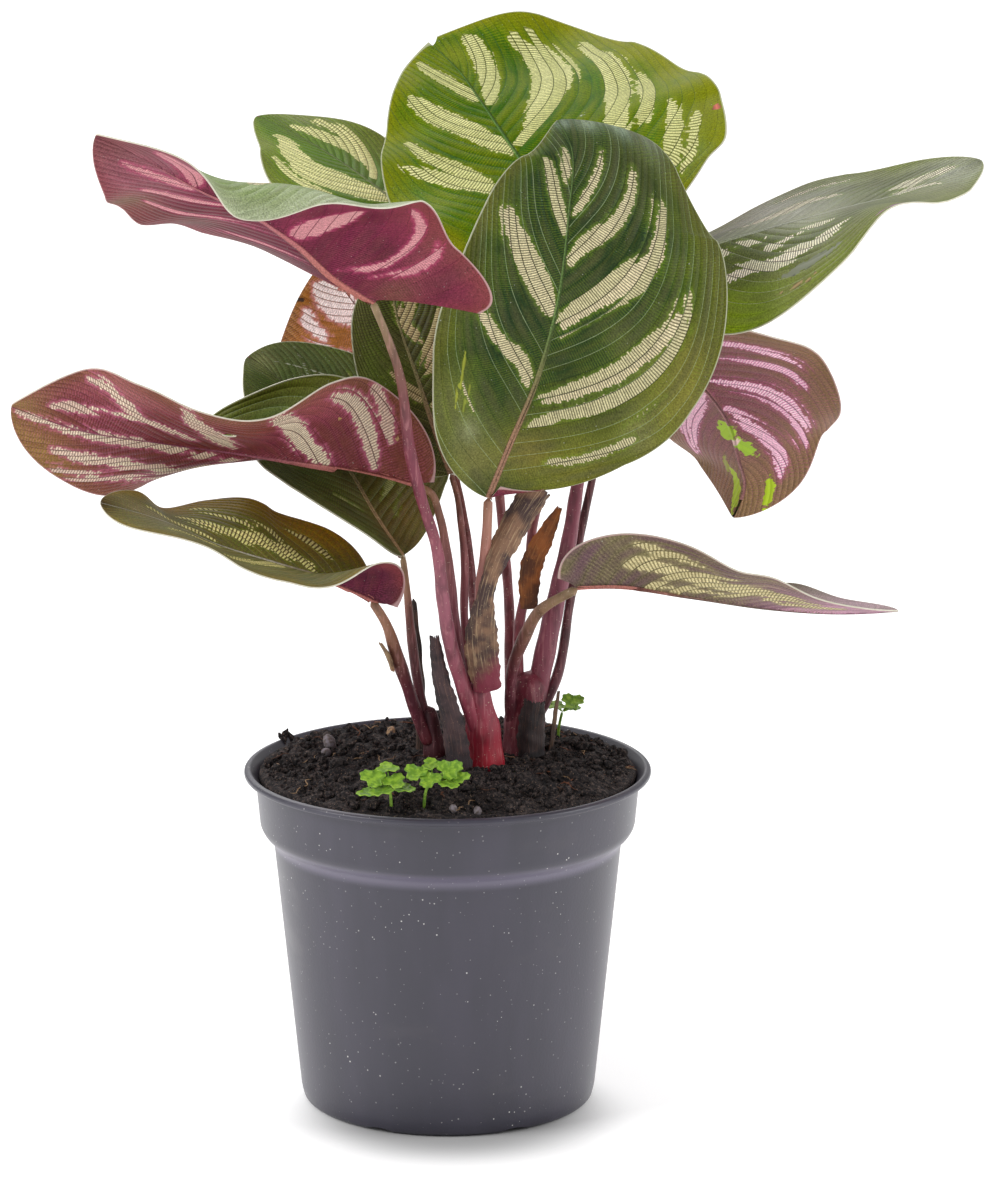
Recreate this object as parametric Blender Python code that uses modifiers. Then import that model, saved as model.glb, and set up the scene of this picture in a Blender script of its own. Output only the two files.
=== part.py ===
"""Potted peacock plant: a patterned house plant in a 12 cm plastic nursery pot.

The frame has its origin at the centre of the pot's underside, with +Z up and -Y towards the front. All sizes
below are in millimetres, and MM turns them into Blender's metres where a mesh is made.
"""

from dataclasses import dataclass
from math import cos, pi, radians, sin

import bmesh
import bpy
import numpy as np

MM = 0.001
GAP = 0.3  # between pieces that touch on the real plant

# Pot: rim, shoulder and body as radius and height
POT_STEPS = 40
POT_WALL = 1.2
LIP_RADIUS, LIP_TOP, LIP_UNDER = 60.0, 101.0, 99.0
BAND_TOP_RADIUS, BAND_TOP = 56.6, 97.6
BAND_FOOT_RADIUS, BAND_FOOT = 55.3, 84.0
BODY_TOP_RADIUS, BODY_TOP = 51.3, 78.5
BODY_FOOT_RADIUS, BODY_FOOT = 43.6, 4.0
FOOT_RADIUS = 41.5
CHANNEL_OUTER, CHANNEL_INNER, CHANNEL_HEIGHT = 37.5, 26.5, 2.0
DRAIN_HOLES, DRAIN_RADIUS = 8, 2.6
NOTCH_ANGLES = (-118, -62, 62, 118)
NOTCH_WIDTH, NOTCH_HEIGHT = 11.0, 1.4
RING_TOP = NOTCH_HEIGHT + POT_WALL  # the floor over the standing ring, so that no notch goes through

# Soil: fills the pot and domes a little above the rim
SOIL_FLOOR = 3.6
SOIL_EDGE, SOIL_DOME = 100.2, 4.2
SOIL_BUMP = 1.1
BARE_RING = 16.0  # bumps fade out this near to a shoot

# Shoots: where each one stands, its radius in the soil and how deep it goes
SHOOT_FOOT = 86.0
LEFT_SHOOT, LEFT_RADIUS, LEFT_TOP = (-4, -2), 3.4, (-6, -3, 120)
MIDDLE_SHOOT, MIDDLE_RADIUS, MIDDLE_TOP = (11, -11), 5.4, (8, -13, 130)
RIGHT_SHOOT, RIGHT_RADIUS, RIGHT_TOP = (22, 6), 6.4, (25, 8, 128)
STALK_CLEARANCE = 0.9  # from a stalk's end to its blade
CLOSE_CLEARANCE = {"front": 0.5, "left_middle": 0.7, "right_lower": 0.2}  # these run straight into their blades

BLADE_THICKNESS = 0.7
BLADE_ROWS, BLADE_COLUMNS = 14, 8
SHEATH_THICKNESS = 0.8
SHEATH_ROWS, SHEATH_COLUMNS = 6, 4


def remove_scene_objects():
    for old in list(bpy.data.objects):
        bpy.data.objects.remove(old, do_unlink=True)


def new_collection(name):
    collection = bpy.data.collections.new(name)
    bpy.context.scene.collection.children.link(collection)
    return collection


def material(name, colour, roughness):
    found = bpy.data.materials.new(name)
    found.use_nodes = True
    shader = found.node_tree.nodes["Principled BSDF"]
    shader.inputs["Base Color"].default_value = (*colour, 1.0)
    shader.inputs["Roughness"].default_value = roughness
    return found


def move_to(obj, collection):
    for old in list(obj.users_collection):
        old.objects.unlink(obj)
    collection.objects.link(obj)


def as_mesh(obj, name, collection):
    """A plain mesh object of what obj's modifiers or curve make, with loose caps welded. obj is removed."""
    graph = bpy.context.evaluated_depsgraph_get()
    mesh = bpy.data.meshes.new_from_object(obj.evaluated_get(graph))
    shape = bmesh.new()
    shape.from_mesh(mesh)
    bmesh.ops.remove_doubles(shape, verts=shape.verts, dist=1e-6)
    shape.to_mesh(mesh)
    shape.free()
    place = obj.matrix_world.copy()
    bpy.data.objects.remove(obj, do_unlink=True)
    made = bpy.data.objects.new(name, mesh)
    made.matrix_world = place
    collection.objects.link(made)
    return made


def boolean(obj, operation, collection):
    cut = obj.modifiers.new(operation.title(), "BOOLEAN")
    cut.operation = operation
    cut.operand_type = "COLLECTION"
    cut.collection = collection


def remove_collection(collection):
    for obj in list(collection.objects):
        bpy.data.objects.remove(obj, do_unlink=True)
    bpy.data.collections.remove(collection)


def hide(collection):
    for cutter in collection.objects:
        cutter.hide_render = True
        cutter.display_type = "WIRE"


# Curves through hand-placed points


def unit(vectors):
    return vectors / np.linalg.norm(vectors, axis=-1, keepdims=True)


def steps_along(points):
    """Each point's share of the way along, from 0 to 1."""
    lengths = np.linalg.norm(np.diff(np.asarray(points, float), axis=0), axis=1)
    return np.concatenate([[0.0], np.cumsum(lengths)]) / lengths.sum()


def smooth(points, steps, where):
    """A cubic curve through the points, which lie at the given steps, read at each place in where."""
    points = np.asarray(points, float).reshape(len(points), -1)
    spans = np.diff(steps)[:, None]
    slopes = np.diff(points, axis=0) / spans
    tangents = np.empty_like(points)
    tangents[1:-1] = (slopes[:-1] * spans[1:] + slopes[1:] * spans[:-1]) / (spans[1:] + spans[:-1])
    tangents[0] = 1.5 * slopes[0] - 0.5 * tangents[1] if len(points) > 2 else slopes[0]
    tangents[-1] = 1.5 * slopes[-1] - 0.5 * tangents[-2] if len(points) > 2 else slopes[-1]
    i = np.clip(np.searchsorted(steps, where, side="right") - 1, 0, len(steps) - 2)
    t = ((where - np.asarray(steps)[i]) / spans[i, 0])[:, None]
    return (
        (2 * t**3 - 3 * t**2 + 1) * points[i]
        + (t**3 - 2 * t**2 + t) * spans[i] * tangents[i]
        + (3 * t**2 - 2 * t**3) * points[i + 1]
        + (t**3 - t**2) * spans[i] * tangents[i + 1]
    )


def even(values, where):
    """Values given at even steps from base to tip, read at each place in where."""
    return smooth(values, np.linspace(0, 1, len(values)), where)[:, 0]


# Leaf blades


@dataclass
class Blade:
    """A blade is two half blades along a midrib. Lists go from base to tip at even steps.

    Left and right are as seen on the upper face with the tip pointing away.
    """

    rib: list  # points along the midrib
    facing: tuple  # the way the upper face looks
    width: tuple  # the widest of the left and right half
    left: list  # degrees that the half rises from the rib
    right: list
    left_curl: tuple = (0, 0)  # degrees that it bends further by its margin
    right_curl: tuple = (0, 0)
    left_back: tuple = (0, 0)  # how far the margin is swept back towards the stalk
    right_back: tuple = (0, 0)
    left_outline: tuple = (0.45, 0.62)  # powers that round off the base and the tip
    right_outline: tuple = (0.45, 0.62)
    left_fullness: tuple = (1, 1)  # how full the half is against that outline
    right_fullness: tuple = (1, 1)
    left_wave: tuple = (0, 3, 0)  # height, number and phase of the waves along the margin
    right_wave: tuple = (0, 3, 0)


def width_share(along, base, tip):
    """The outline of a half blade: 0 at both ends and 1 at its widest."""
    widest = base / (base + tip)
    return along**base * (1 - along) ** tip / (widest**base * (1 - widest) ** tip)


def rib_frame(rib, facing, along):
    """The midrib's points with its direction, the blade's normal and its rightward direction there."""
    steps = steps_along(rib)
    points = smooth(rib, steps, along)
    ahead = smooth(rib, steps, np.clip(along + 0.001, 0, 1))
    behind = smooth(rib, steps, np.clip(along - 0.001, 0, 1))
    direction = unit(ahead - behind)
    normal = np.asarray(facing, float) - (direction @ np.asarray(facing, float))[:, None] * direction
    normal = unit(normal)
    return points, direction, normal, np.cross(direction, normal)


def half_blade(blade, side, along, across):
    """Points of one half, for each place along the rib and each share of the way out to the margin."""
    points, direction, normal, rightward = rib_frame(blade.rib, blade.facing, along)
    name = "right" if side > 0 else "left"
    lift = np.radians(even(getattr(blade, name), along))
    curl = np.radians(even(getattr(blade, name + "_curl"), along))
    curl = np.where(np.abs(curl) < 1e-4, 1e-4, curl)
    width = blade.width[side > 0] * width_share(along, *getattr(blade, name + "_outline"))
    width *= even(getattr(blade, name + "_fullness"), along)
    out = (np.sin(lift + curl * across) - np.sin(lift)) / curl
    up = (np.cos(lift) - np.cos(lift + curl * across)) / curl
    place = points + width[:, None] * (side * out[:, None] * rightward + up[:, None] * normal)
    back = even(getattr(blade, name + "_back"), along)
    place -= (back * across**1.5)[:, None] * direction
    height, waves, phase = getattr(blade, name + "_wave")
    tilt = (lift + curl * across)[:, None]
    outward = -side * np.sin(tilt) * rightward + np.cos(tilt) * normal
    wave = height * np.sin(2 * pi * (waves * along + phase)) * np.sqrt(np.sin(pi * along)) * across**2.2
    return place + wave[:, None] * outward


def blade_points(blade, along, across):
    """Points of the blade. Across runs from -1 at the left margin to 1 at the right one."""
    left = half_blade(blade, -1, along, np.abs(across))
    right = half_blade(blade, 1, along, np.abs(across))
    return np.where((across > 0)[:, None], right, left)


def grid_object(name, rows, columns, collection, finish):
    """A flat grid from -1 to 1 each way, x along and y to the left, for a formula to bend."""
    bpy.ops.mesh.primitive_grid_add(x_subdivisions=rows, y_subdivisions=columns, size=2)
    grid = bpy.context.active_object
    grid.name = grid.data.name = name
    grid.data.materials.append(finish)
    move_to(grid, collection)
    places = np.empty(len(grid.data.vertices) * 3)
    grid.data.vertices.foreach_get("co", places)
    return grid, places.reshape(-1, 3)


def thicken(obj, thickness):
    """Both faces get the same triangles, so a waved blade never crosses itself."""
    obj.modifiers.new("Triangles", "TRIANGULATE")
    wall = obj.modifiers.new("Thickness", "SOLIDIFY")
    wall.thickness = thickness * MM
    wall.offset = 0


def set_places(obj, places):
    obj.data.vertices.foreach_set("co", (places * MM).ravel())
    obj.data.update()


def make_blade(name, blade, collection, finish):
    grid, flat = grid_object(name, BLADE_ROWS, BLADE_COLUMNS, collection, finish)
    along = np.clip(0.5 - 0.5 * np.cos(pi * (flat[:, 0] + 1) / 2), 0.004, 0.996)
    set_places(grid, blade_points(blade, along, -flat[:, 1]))
    thicken(grid, BLADE_THICKNESS)


LEAVES = {
    "front": Blade(
        rib=[(12, -22, 187), (18, -26, 203), (26, -28, 223), (32, -28, 246), (35, -22, 270), (36, -12, 287),
             (32, -2, 294)],
        facing=(0.1, -1, 0.1),
        width=(32.5, 50),
        left=[10, 5, -5, 0, 5, 10],
        right=[5, 10, 5, 5, -5, -20],
        left_curl=[0, 10, 10, 10, 0, 0],
        right_curl=[0, -10, -10, -25, -30, -40],
        right_back=[-5, -8, -3, 0, 0, 0],
        left_outline=(0.6, 0.8),
        right_outline=(0.52, 0.42),
        left_wave=(0.6, 2, 0),
        right_wave=(0.5, 3, 0),
    ),
    "back_top": Blade(
        rib=[(43, 20, 243), (34, 34, 258), (20, 58, 274), (10, 80, 285), (2, 98, 293), (-5, 108, 298)],
        facing=(0.1, -0.8, 0.6),
        width=(43, 60),
        left=[10, 10, 5, 0, 0, 0],
        right=[35, 25, 15, 5, -10, -10],
        left_back=[0, 0, 0, 0, 0, 0, -1, -3, -6, -9, -2],
        right_back=[-2, -1, 9, 8, 12, 7, 1, -8, -24, -13, -3],
        left_outline=(0.6, 1),
        right_outline=(0.33, 0.45),
        left_wave=(2, 4, 0),
        right_wave=(2, 4, 0.5),
    ),
    "left_back": Blade(
        rib=[(4, 40, 246), (-7, 52, 253), (-17, 64, 259), (-30, 78, 266), (-43, 90, 272), (-58, 98, 278)],
        facing=(0, -0.6, 0.8),
        width=(34, 33),
        left=[20, 20, 20, 25, 30, 35],
        right=[-35, -35, -35, -30, -20, -20],
        right_outline=(0.45, 0.75),
        left_wave=(1, 3, 0),
        right_wave=(1, 3, 0),
    ),
    "upper_left": Blade(
        rib=[(-21, -42, 249), (-31, -52, 257), (-42, -66, 270), (-55, -80, 282), (-67, -92, 290), (-81, -102, 300),
             (-95, -106, 308)],
        facing=(-0.1, 0.7, 0.6),
        width=(46, 36),
        left=[-10, 10, 15, 0, 10, 0, -25, -40],
        right=[45, 45, 35, 30, 20, 20, 5, -10],
        left_curl=[0, 0, -20, -40, -80, -110, -20, 0],
        left_back=[27, 21, 10, 1, 0, 0, 0, 0],
        left_outline=(0.1, 0.6),
        left_fullness=[0.6, 0.65, 0.84, 1, 1, 1, 1, 1],
    ),
    "left_middle": Blade(
        rib=[(-10, -14, 189), (-25, -16, 193), (-42, -20, 197), (-60, -24, 201), (-82, -28, 205), (-105, -30, 209),
             (-125, -26, 215)],
        facing=(0, 0, 1),
        width=(33, 34),
        left=[85, 90, 60, 30, 29, 46, 71, 30],
        right=[50, 50, 0, -50, -60, -50, -65, -90],
        right_curl=[0, 20, 100, 150, 70, 0, 0, 0],
        left_back=[6, 2, 0, 0, 0, 0],
    ),
    "left_lower": Blade(
        rib=[(-22, -16, 155), (-34, -20, 162), (-48, -26, 168), (-65, -32, 175), (-82, -38, 184), (-99, -42, 190)],
        facing=(0, -0.3, 1),
        width=(26, 28),
        left=[95, 55, 20, 15, 15, 18, 10, -10],
        right=[20, 15, 10, 10, 0, -15, -5, 0],
        left_back=[8, 3, 0, 0, 0, 0],
    ),
    "dark_left": Blade(
        rib=[(-13, -6, 166), (-21, -2, 177), (-28, 4, 188), (-37, 12, 198), (-45, 20, 208), (-55, 27, 216),
             (-59, 29, 218)],
        facing=(0, -0.9, 0.5),
        width=(27, 34),
        left=[70, 60, 40, 35, 40, 50],
        right=[-45, -30, -25, -20, -20, -20],
        left_wave=(1, 3, 0),
        right_wave=(1, 3, 0),
    ),
    "middle": Blade(
        rib=[(1, 1, 189), (-4, 2, 203), (-9, 4, 218), (-14, 8, 232), (-17, 13, 244), (-20, 18, 249)],
        facing=(0, -1, 0.2),
        width=(17, 28),
        left=[10, 10, 10, 10, 0, 0],
        right=[10, 10, 10, 10, 0, 0],
        left_wave=(1, 3, 0),
        right_wave=(1, 3, 0),
    ),
    "rust": Blade(
        rib=[(-2, 34, 198), (-13, 42, 211), (-23, 52, 223), (-31, 60, 232), (-38, 64, 239)],
        facing=(0.3, 1, 0.3),
        width=(30, 40),
        left=[10, 10, 10, 10, 0, 0],
        right=[-35, -35, -35, -35, -35, -35],
        left_wave=(1, 3, 0),
        right_wave=(1, 3, 0),
    ),
    "right": Blade(
        rib=[(53, 2, 247), (65, 7, 252), (78, 13, 255), (102, 22, 260), (119, 30, 263), (133, 38, 265),
             (147, 46, 269), (158, 50, 273)],
        facing=(-0.1, -0.5, 0.85),
        width=(32, 36),
        left=[-35, -35, -35, -30, -25, -20, -20, -20],
        right=[-35, -25, -5, 15, 35, 30, 25, 20],
        left_outline=(0.75, 0.62),
    ),
    "right_pink": Blade(
        rib=[(54, 16, 229), (65, 26, 220), (77, 38, 206), (83, 46, 196), (87, 58, 181), (89, 66, 170), (86, 70, 160)],
        facing=(0.3, 0.6, 0.7),
        width=(30, 36),
        left=[10, 10, 10, 10, 20, 60],
        right=[0, 10, 20, 25, 35, 30],
        left_back=[0, 0, 0, -2, -6, 0],
        left_outline=(0.6, 0.5),
        left_wave=(1, 3, 0),
        right_wave=(1, 3, 0),
    ),
    "right_lower": Blade(
        rib=[(38, -14, 158), (50, -12, 158), (71, -10, 155), (94, -8, 151), (115, -6, 149), (132, -4, 149)],
        facing=(0, 0, 1),
        width=(22, 25),
        left=[60, 40, 10, 10, 5, 12, 4, 4],
        right=[80, 70, 50, 35, 35, 25, 20, 15],
        right_back=[6, 3, 0, 0, 0, 0, 0],
        right_outline=(0.3, 0.62),
        right_fullness=[0.8, 0.83, 1, 1, 1, 1, 1],
    ),
}


# Leaf stalks, which grow together into three shoots


def tube(name, path, radii, collection, point_gap=9.0, sides=2):
    """A round tapered tube through the path's points. Radii go from its start to its end at even steps."""
    steps = steps_along(path)
    length = np.linalg.norm(np.diff(np.asarray(path, float), axis=0), axis=1).sum()
    where = np.linspace(0, 1, max(3, round(length / point_gap)))
    curve = bpy.data.curves.new(name, "CURVE")
    curve.dimensions = "3D"
    curve.bevel_depth = MM
    curve.bevel_resolution = sides
    curve.use_fill_caps = True
    spline = curve.splines.new("POLY")
    spline.points.add(len(where) - 1)
    for point, place, radius in zip(spline.points, smooth(path, steps, where), even(radii, where)):
        point.co = (*(place * MM), 1)
        point.radius = radius
    made = bpy.data.objects.new(name, curve)
    collection.objects.link(made)
    return as_mesh(made, name, collection)


# Each stalk runs from its blade down into its shoot: the points between, and its radii from top to foot
MIDDLE_STALKS = {
    "upper_left": ([(-17, -41, 239), (-14, -40, 230), (-10, -34, 201), (-7, -31, 188), (-3, -28, 174),
                    (-1, -24, 156), (1, -20, 143), (5, -16, 128), (9, -13, 114)], (1.3, 1.7, 1.6, 1.9, 2.2, 2.4)),
    "front": ([(11, -20, 169), (10, -19, 161), (10, -16, 143), (10, -13, 124), (11, -11, 112)], (1.5, 1.6, 1.8, 2.2)),
    "left_middle": ([(-5, -14, 187), (-2, -13, 179), (0, -12, 167), (2, -11, 149), (5, -11, 127), (9, -11, 112)],
                    (1.3, 1.6, 1.5, 1.7, 2.0)),
    "middle": ([(3, -3, 183), (4, -5, 176), (5, -6, 166), (5, -7, 147), (8, -8, 123), (10, -9, 112)],
               (1.1, 1.2, 1.2, 1.4, 1.8)),
    "rust": ([(2, 27, 184), (6, 14, 165), (8, 2, 145), (10, -5, 122), (11, -8, 112)], (1.1, 1.3, 1.4, 1.8)),
}
LEFT_STALKS = {
    "left_lower": ([(-18, -14, 148), (-15, -11, 138), (-12, -8, 128), (-9, -5, 118), (-5, -3, 108)],
                   (1.9, 1.9, 1.7, 1.9, 2.2)),
    "dark_left": ([(-12, -6, 158), (-11, -5, 146), (-9, -3, 129), (-6, -2, 114), (-4, -1, 108)],
                  (1.3, 1.5, 1.5, 2.0)),
}
RIGHT_STALKS = {
    "right": ([(50, 4, 236), (44, 9, 212), (38, 10, 183), (36, 10, 169), (31, 9, 145), (28, 9, 130), (24, 8, 112)],
              (1.0, 1.7, 2.3, 3.0, 3.4)),
    "right_pink": ([(50, 15, 221), (46, 17, 200), (42, 17, 181), (39, 16, 167), (36, 14, 147), (31, 11, 122), (25, 8, 112)],
                   (0.8, 1.3, 1.4, 1.8)),
    "back_top": ([(36, 22, 213), (29, 20, 186), (25, 17, 169), (24, 15, 156), (21, 11, 140), (21, 7, 119),
                  (21, 6, 112)], (1.3, 1.4, 1.5, 1.8)),
    "left_back": ([(8, 38, 221), (13, 33, 195), (16, 26, 169), (18, 18, 147), (19, 10, 118), (20, 7, 112)],
                  (1.3, 1.4, 1.5, 1.8)),
    "right_lower": ([(33, -12, 155), (27, -8, 150), (23, -4, 142), (19, 0, 130), (19, 4, 112)],
                    (1.9, 1.8, 1.6, 2.0)),
}

# A dead stalk stands by itself behind the left shoot
DEAD_STALK = [(-10, 3, 151), (-9, 3, 135), (-8, 4, 112), (-8, 4, 103), (-8, 4, 95)]
DEAD_RADII = (0.5, 1.4, 1.5, 1.4)


def make_shoot(name, foot, radius, top, stalks, collection, finish):
    """The shoot's round foot with its stalks, joined in one body as they grow."""
    joined = new_collection(name + " stalks")
    x, y = foot
    for leaf, (path, radii) in stalks.items():
        rib = LEAVES[leaf].rib
        start = np.array(rib[0], float)
        clear = unit(np.array(path[0], float) - start) * CLOSE_CLEARANCE.get(leaf, STALK_CLEARANCE)
        tube(leaf, [tuple(start + clear), *path], radii, joined)
    crown = tube(name, [(x, y, SHOOT_FOOT), (x, y, 98), (x, y, 107), top],
                 (radius, radius, 0.95 * radius, 0.3 * radius), collection, point_gap=6.0)
    boolean(crown, "UNION", joined)
    shoot = as_mesh(crown, name, collection)
    shoot.data.materials.clear()
    shoot.data.materials.append(finish)
    remove_collection(joined)


# Dry sheaths round the foot of the shoots


@dataclass
class Sheath:
    path: list  # points along its middle, from top to foot
    facing: tuple
    width: list  # half width, from top to foot at even steps
    curl: float  # degrees that each half bends round what it clasps


SHEATHS = {
    "sheath_dark": Sheath([(-4, -17.6, 145), (-2, -18.6, 131), (1, -19.4, 119), (3, -19.4, 105.3)], (-0.3, -1, 0),
                          [0.8, 2.5, 3.5, 4.0], -60),
    "sheath_centre": Sheath([(27, -15.5, 189), (19, -20, 177), (12, -24.8, 162), (10, -22.8, 145), (12, -17.8, 128)],
                            (0, -1, 0.1), [3.4, 3.6, 2.2, 5.2, 2.6], -50),
    "sheath_orange": Sheath([(33, 10, 177), (29, 9, 169), (25, 10, 160), (24, 10.4, 146)], (0, -1, 0),
                            [0.8, 2.4, 2.2, 1.2], -40),
    "sheath_black": Sheath([(26, -5, 122), (25, -5.5, 113), (25, -5.5, 105)], (0.1, -1, 0), [4.6, 6.0, 6.0], -90),
    "sheath_thin": Sheath([(33, 7, 122), (32, 6, 114), (31, 6, 104.4)], (1, -0.3, 0), [1.0, 1.8, 2.0], -40),
    "bract_tan": Sheath([(-19.7, -14.7, 142), (-17.7, -13.7, 138), (-16.2, -12.2, 133)], (-1, -0.6, 0), [0.8, 1.6, 1.2], -40),
}


def make_sheath(name, sheath, collection, finish):
    grid, flat = grid_object(name, SHEATH_ROWS, SHEATH_COLUMNS, collection, finish)
    along, across = (flat[:, 0] + 1) / 2, -flat[:, 1]
    points, _, normal, rightward = rib_frame(sheath.path, sheath.facing, along)
    width, curl = even(sheath.width, along), radians(sheath.curl)
    side, out = np.sign(across), np.abs(across)
    sideways = side * np.sin(curl * out) / curl
    inward = (1 - np.cos(curl * out)) / curl
    set_places(grid, points + width[:, None] * (sideways[:, None] * rightward + inward[:, None] * normal))
    thicken(grid, SHEATH_THICKNESS)


# Soil and pot


def turned(name, profile, steps, collection, finish):
    """A profile of radius and height turned round the Z axis. It runs down its outer side, top to bottom."""
    mesh = bpy.data.meshes.new(name)
    edges = [(i, i + 1) for i in range(len(profile) - 1)]
    mesh.from_pydata([(r * MM, 0, z * MM) for r, z in profile], edges, [])
    mesh.materials.append(finish)
    obj = bpy.data.objects.new(name, mesh)
    collection.objects.link(obj)
    screw = obj.modifiers.new("Turn", "SCREW")
    screw.steps = screw.render_steps = steps
    screw.use_merge_vertices = True
    screw.merge_threshold = 1e-6
    return obj


def cylinder(name, radius, length, place, collection, turn=(0, 0, 0), sides=24):
    bpy.ops.mesh.primitive_cylinder_add(vertices=sides, radius=radius * MM, depth=length * MM,
                                        location=[c * MM for c in place], rotation=turn)
    made = bpy.context.active_object
    made.name = name
    move_to(made, collection)
    return made


def make_pot(collection, cutters, finish):
    wall = POT_WALL
    profile = [
        (LIP_RADIUS - 1.6, LIP_TOP), (LIP_RADIUS, LIP_TOP - 0.6), (LIP_RADIUS, LIP_UNDER),
        (BAND_TOP_RADIUS + 0.4, LIP_UNDER - 0.6), (BAND_TOP_RADIUS, BAND_TOP), (BAND_FOOT_RADIUS, BAND_FOOT),
        (BAND_FOOT_RADIUS - 1.2, BAND_FOOT - 2.2), (BODY_TOP_RADIUS + 0.5, BODY_TOP + 1.4),
        (BODY_TOP_RADIUS, BODY_TOP), (BODY_FOOT_RADIUS, BODY_FOOT), (BODY_FOOT_RADIUS - 0.8, 1.0),
        (FOOT_RADIUS, 0), (CHANNEL_OUTER, 0), (CHANNEL_OUTER - 0.5, CHANNEL_HEIGHT),
        (CHANNEL_INNER + 0.5, CHANNEL_HEIGHT), (CHANNEL_INNER, 0), (0, 0),
        (0, wall), (CHANNEL_INNER - 0.8, wall), (CHANNEL_INNER - 0.3, CHANNEL_HEIGHT + wall),
        (CHANNEL_OUTER + 0.3, CHANNEL_HEIGHT + wall), (CHANNEL_OUTER + 0.8, RING_TOP), (FOOT_RADIUS - 0.6, RING_TOP),
        (BODY_FOOT_RADIUS - wall, BODY_FOOT + 0.4), (BODY_TOP_RADIUS - wall, BODY_TOP + 0.3),
        (BAND_FOOT_RADIUS - wall, BAND_FOOT + 0.6), (BAND_TOP_RADIUS - wall, BAND_TOP),
        (LIP_RADIUS - 2.4, LIP_TOP - 0.8), (LIP_RADIUS - 1.6, LIP_TOP),
    ]
    pot = turned("pot", profile, POT_STEPS, collection, finish)
    middle = (CHANNEL_OUTER + CHANNEL_INNER) / 2
    for i in range(DRAIN_HOLES):
        angle = 2 * pi * (i + 0.5) / DRAIN_HOLES
        cylinder("drain", DRAIN_RADIUS, 12, (middle * cos(angle), middle * sin(angle), 2), cutters, sides=10)
    round_radius = (NOTCH_WIDTH**2 / 4 + NOTCH_HEIGHT**2) / (2 * NOTCH_HEIGHT)
    for degrees in NOTCH_ANGLES:
        angle = radians(degrees)
        place = (FOOT_RADIUS * cos(angle), FOOT_RADIUS * sin(angle), NOTCH_HEIGHT - round_radius)
        cylinder("notch", round_radius, 12, place, cutters, turn=(0, pi / 2, angle), sides=48)
    boolean(pot, "DIFFERENCE", cutters)
    return pot


def soil_height(x, y):
    """The top of the soil: a low dome with lumps, which fade out round the shoots and at the pot's wall."""
    edge = BAND_TOP_RADIUS - POT_WALL - GAP
    share = np.clip(np.hypot(x, y) / edge, 0, 1)
    lumps = (np.sin(0.31 * x + 1.3) * np.cos(0.27 * y + 0.4) + 0.7 * np.sin(0.55 * x - 0.47 * y)
             + 0.5 * np.cos(0.83 * y + 0.2 * x))
    nearest = np.min([np.hypot(x - foot[0], y - foot[1]) for foot in (LEFT_SHOOT, MIDDLE_SHOOT, RIGHT_SHOOT)], axis=0)
    fade = np.clip(nearest / BARE_RING - 0.6, 0, 1) * np.clip(6 * (1 - share), 0, 1)
    return SOIL_EDGE + SOIL_DOME * (1 - share**3) + SOIL_BUMP * lumps * fade


def make_soil(collection, cutters, finish):
    wall = POT_WALL + GAP
    edge = BAND_TOP_RADIUS - wall
    rings = [edge * share for share in (0.15, 0.3, 0.45, 0.6, 0.73, 0.84, 0.93)]
    profile = [(0, SOIL_EDGE), *((ring, SOIL_EDGE) for ring in rings), (edge + 1.0, SOIL_EDGE - 0.2),
               (edge, BAND_TOP), (BAND_FOOT_RADIUS - wall, BAND_FOOT + 0.9), (BODY_TOP_RADIUS - wall, BODY_TOP + 0.6),
               (BODY_FOOT_RADIUS - wall, BODY_FOOT + 1.2), (FOOT_RADIUS - 2, SOIL_FLOOR), (0, SOIL_FLOOR)]
    turned("soil body", profile, POT_STEPS, collection, finish)
    soil = as_mesh(bpy.data.objects["soil body"], "soil", collection)
    places = np.empty(len(soil.data.vertices) * 3)
    soil.data.vertices.foreach_get("co", places)
    places = places.reshape(-1, 3) / MM
    top = (places[:, 2] > SOIL_EDGE - 0.1) & (np.hypot(places[:, 0], places[:, 1]) < edge)
    places[top, 2] = soil_height(places[top, 0], places[top, 1])
    set_places(soil, places)
    for foot, radius in ((LEFT_SHOOT, LEFT_RADIUS), (MIDDLE_SHOOT, MIDDLE_RADIUS), (RIGHT_SHOOT, RIGHT_RADIUS)):
        bottom = SHOOT_FOOT - GAP
        cylinder("hole", radius + GAP + 0.2, 60, (*foot, bottom + 30), cutters)
    x, y, bottom = DEAD_STALK[-1]
    cylinder("hole", max(DEAD_RADII) + GAP + 0.2, 40, (x, y, bottom - GAP + 20), cutters, sides=12)
    for stem, _ in SEEDLINGS.values():
        x, y, _ = stem[0]
        cylinder("hole", STEM_RADIUS + GAP + 0.2, 40, (x, y, STEM_FOOT - GAP + 20), cutters, sides=12)
    boolean(soil, "DIFFERENCE", cutters)
    return soil


# Seedlings: thin stems with small lobed leaves

STEM_RADIUS = 0.5
STEM_FOOT = 97.0
LEAFLET_THICKNESS = 0.6
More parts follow.
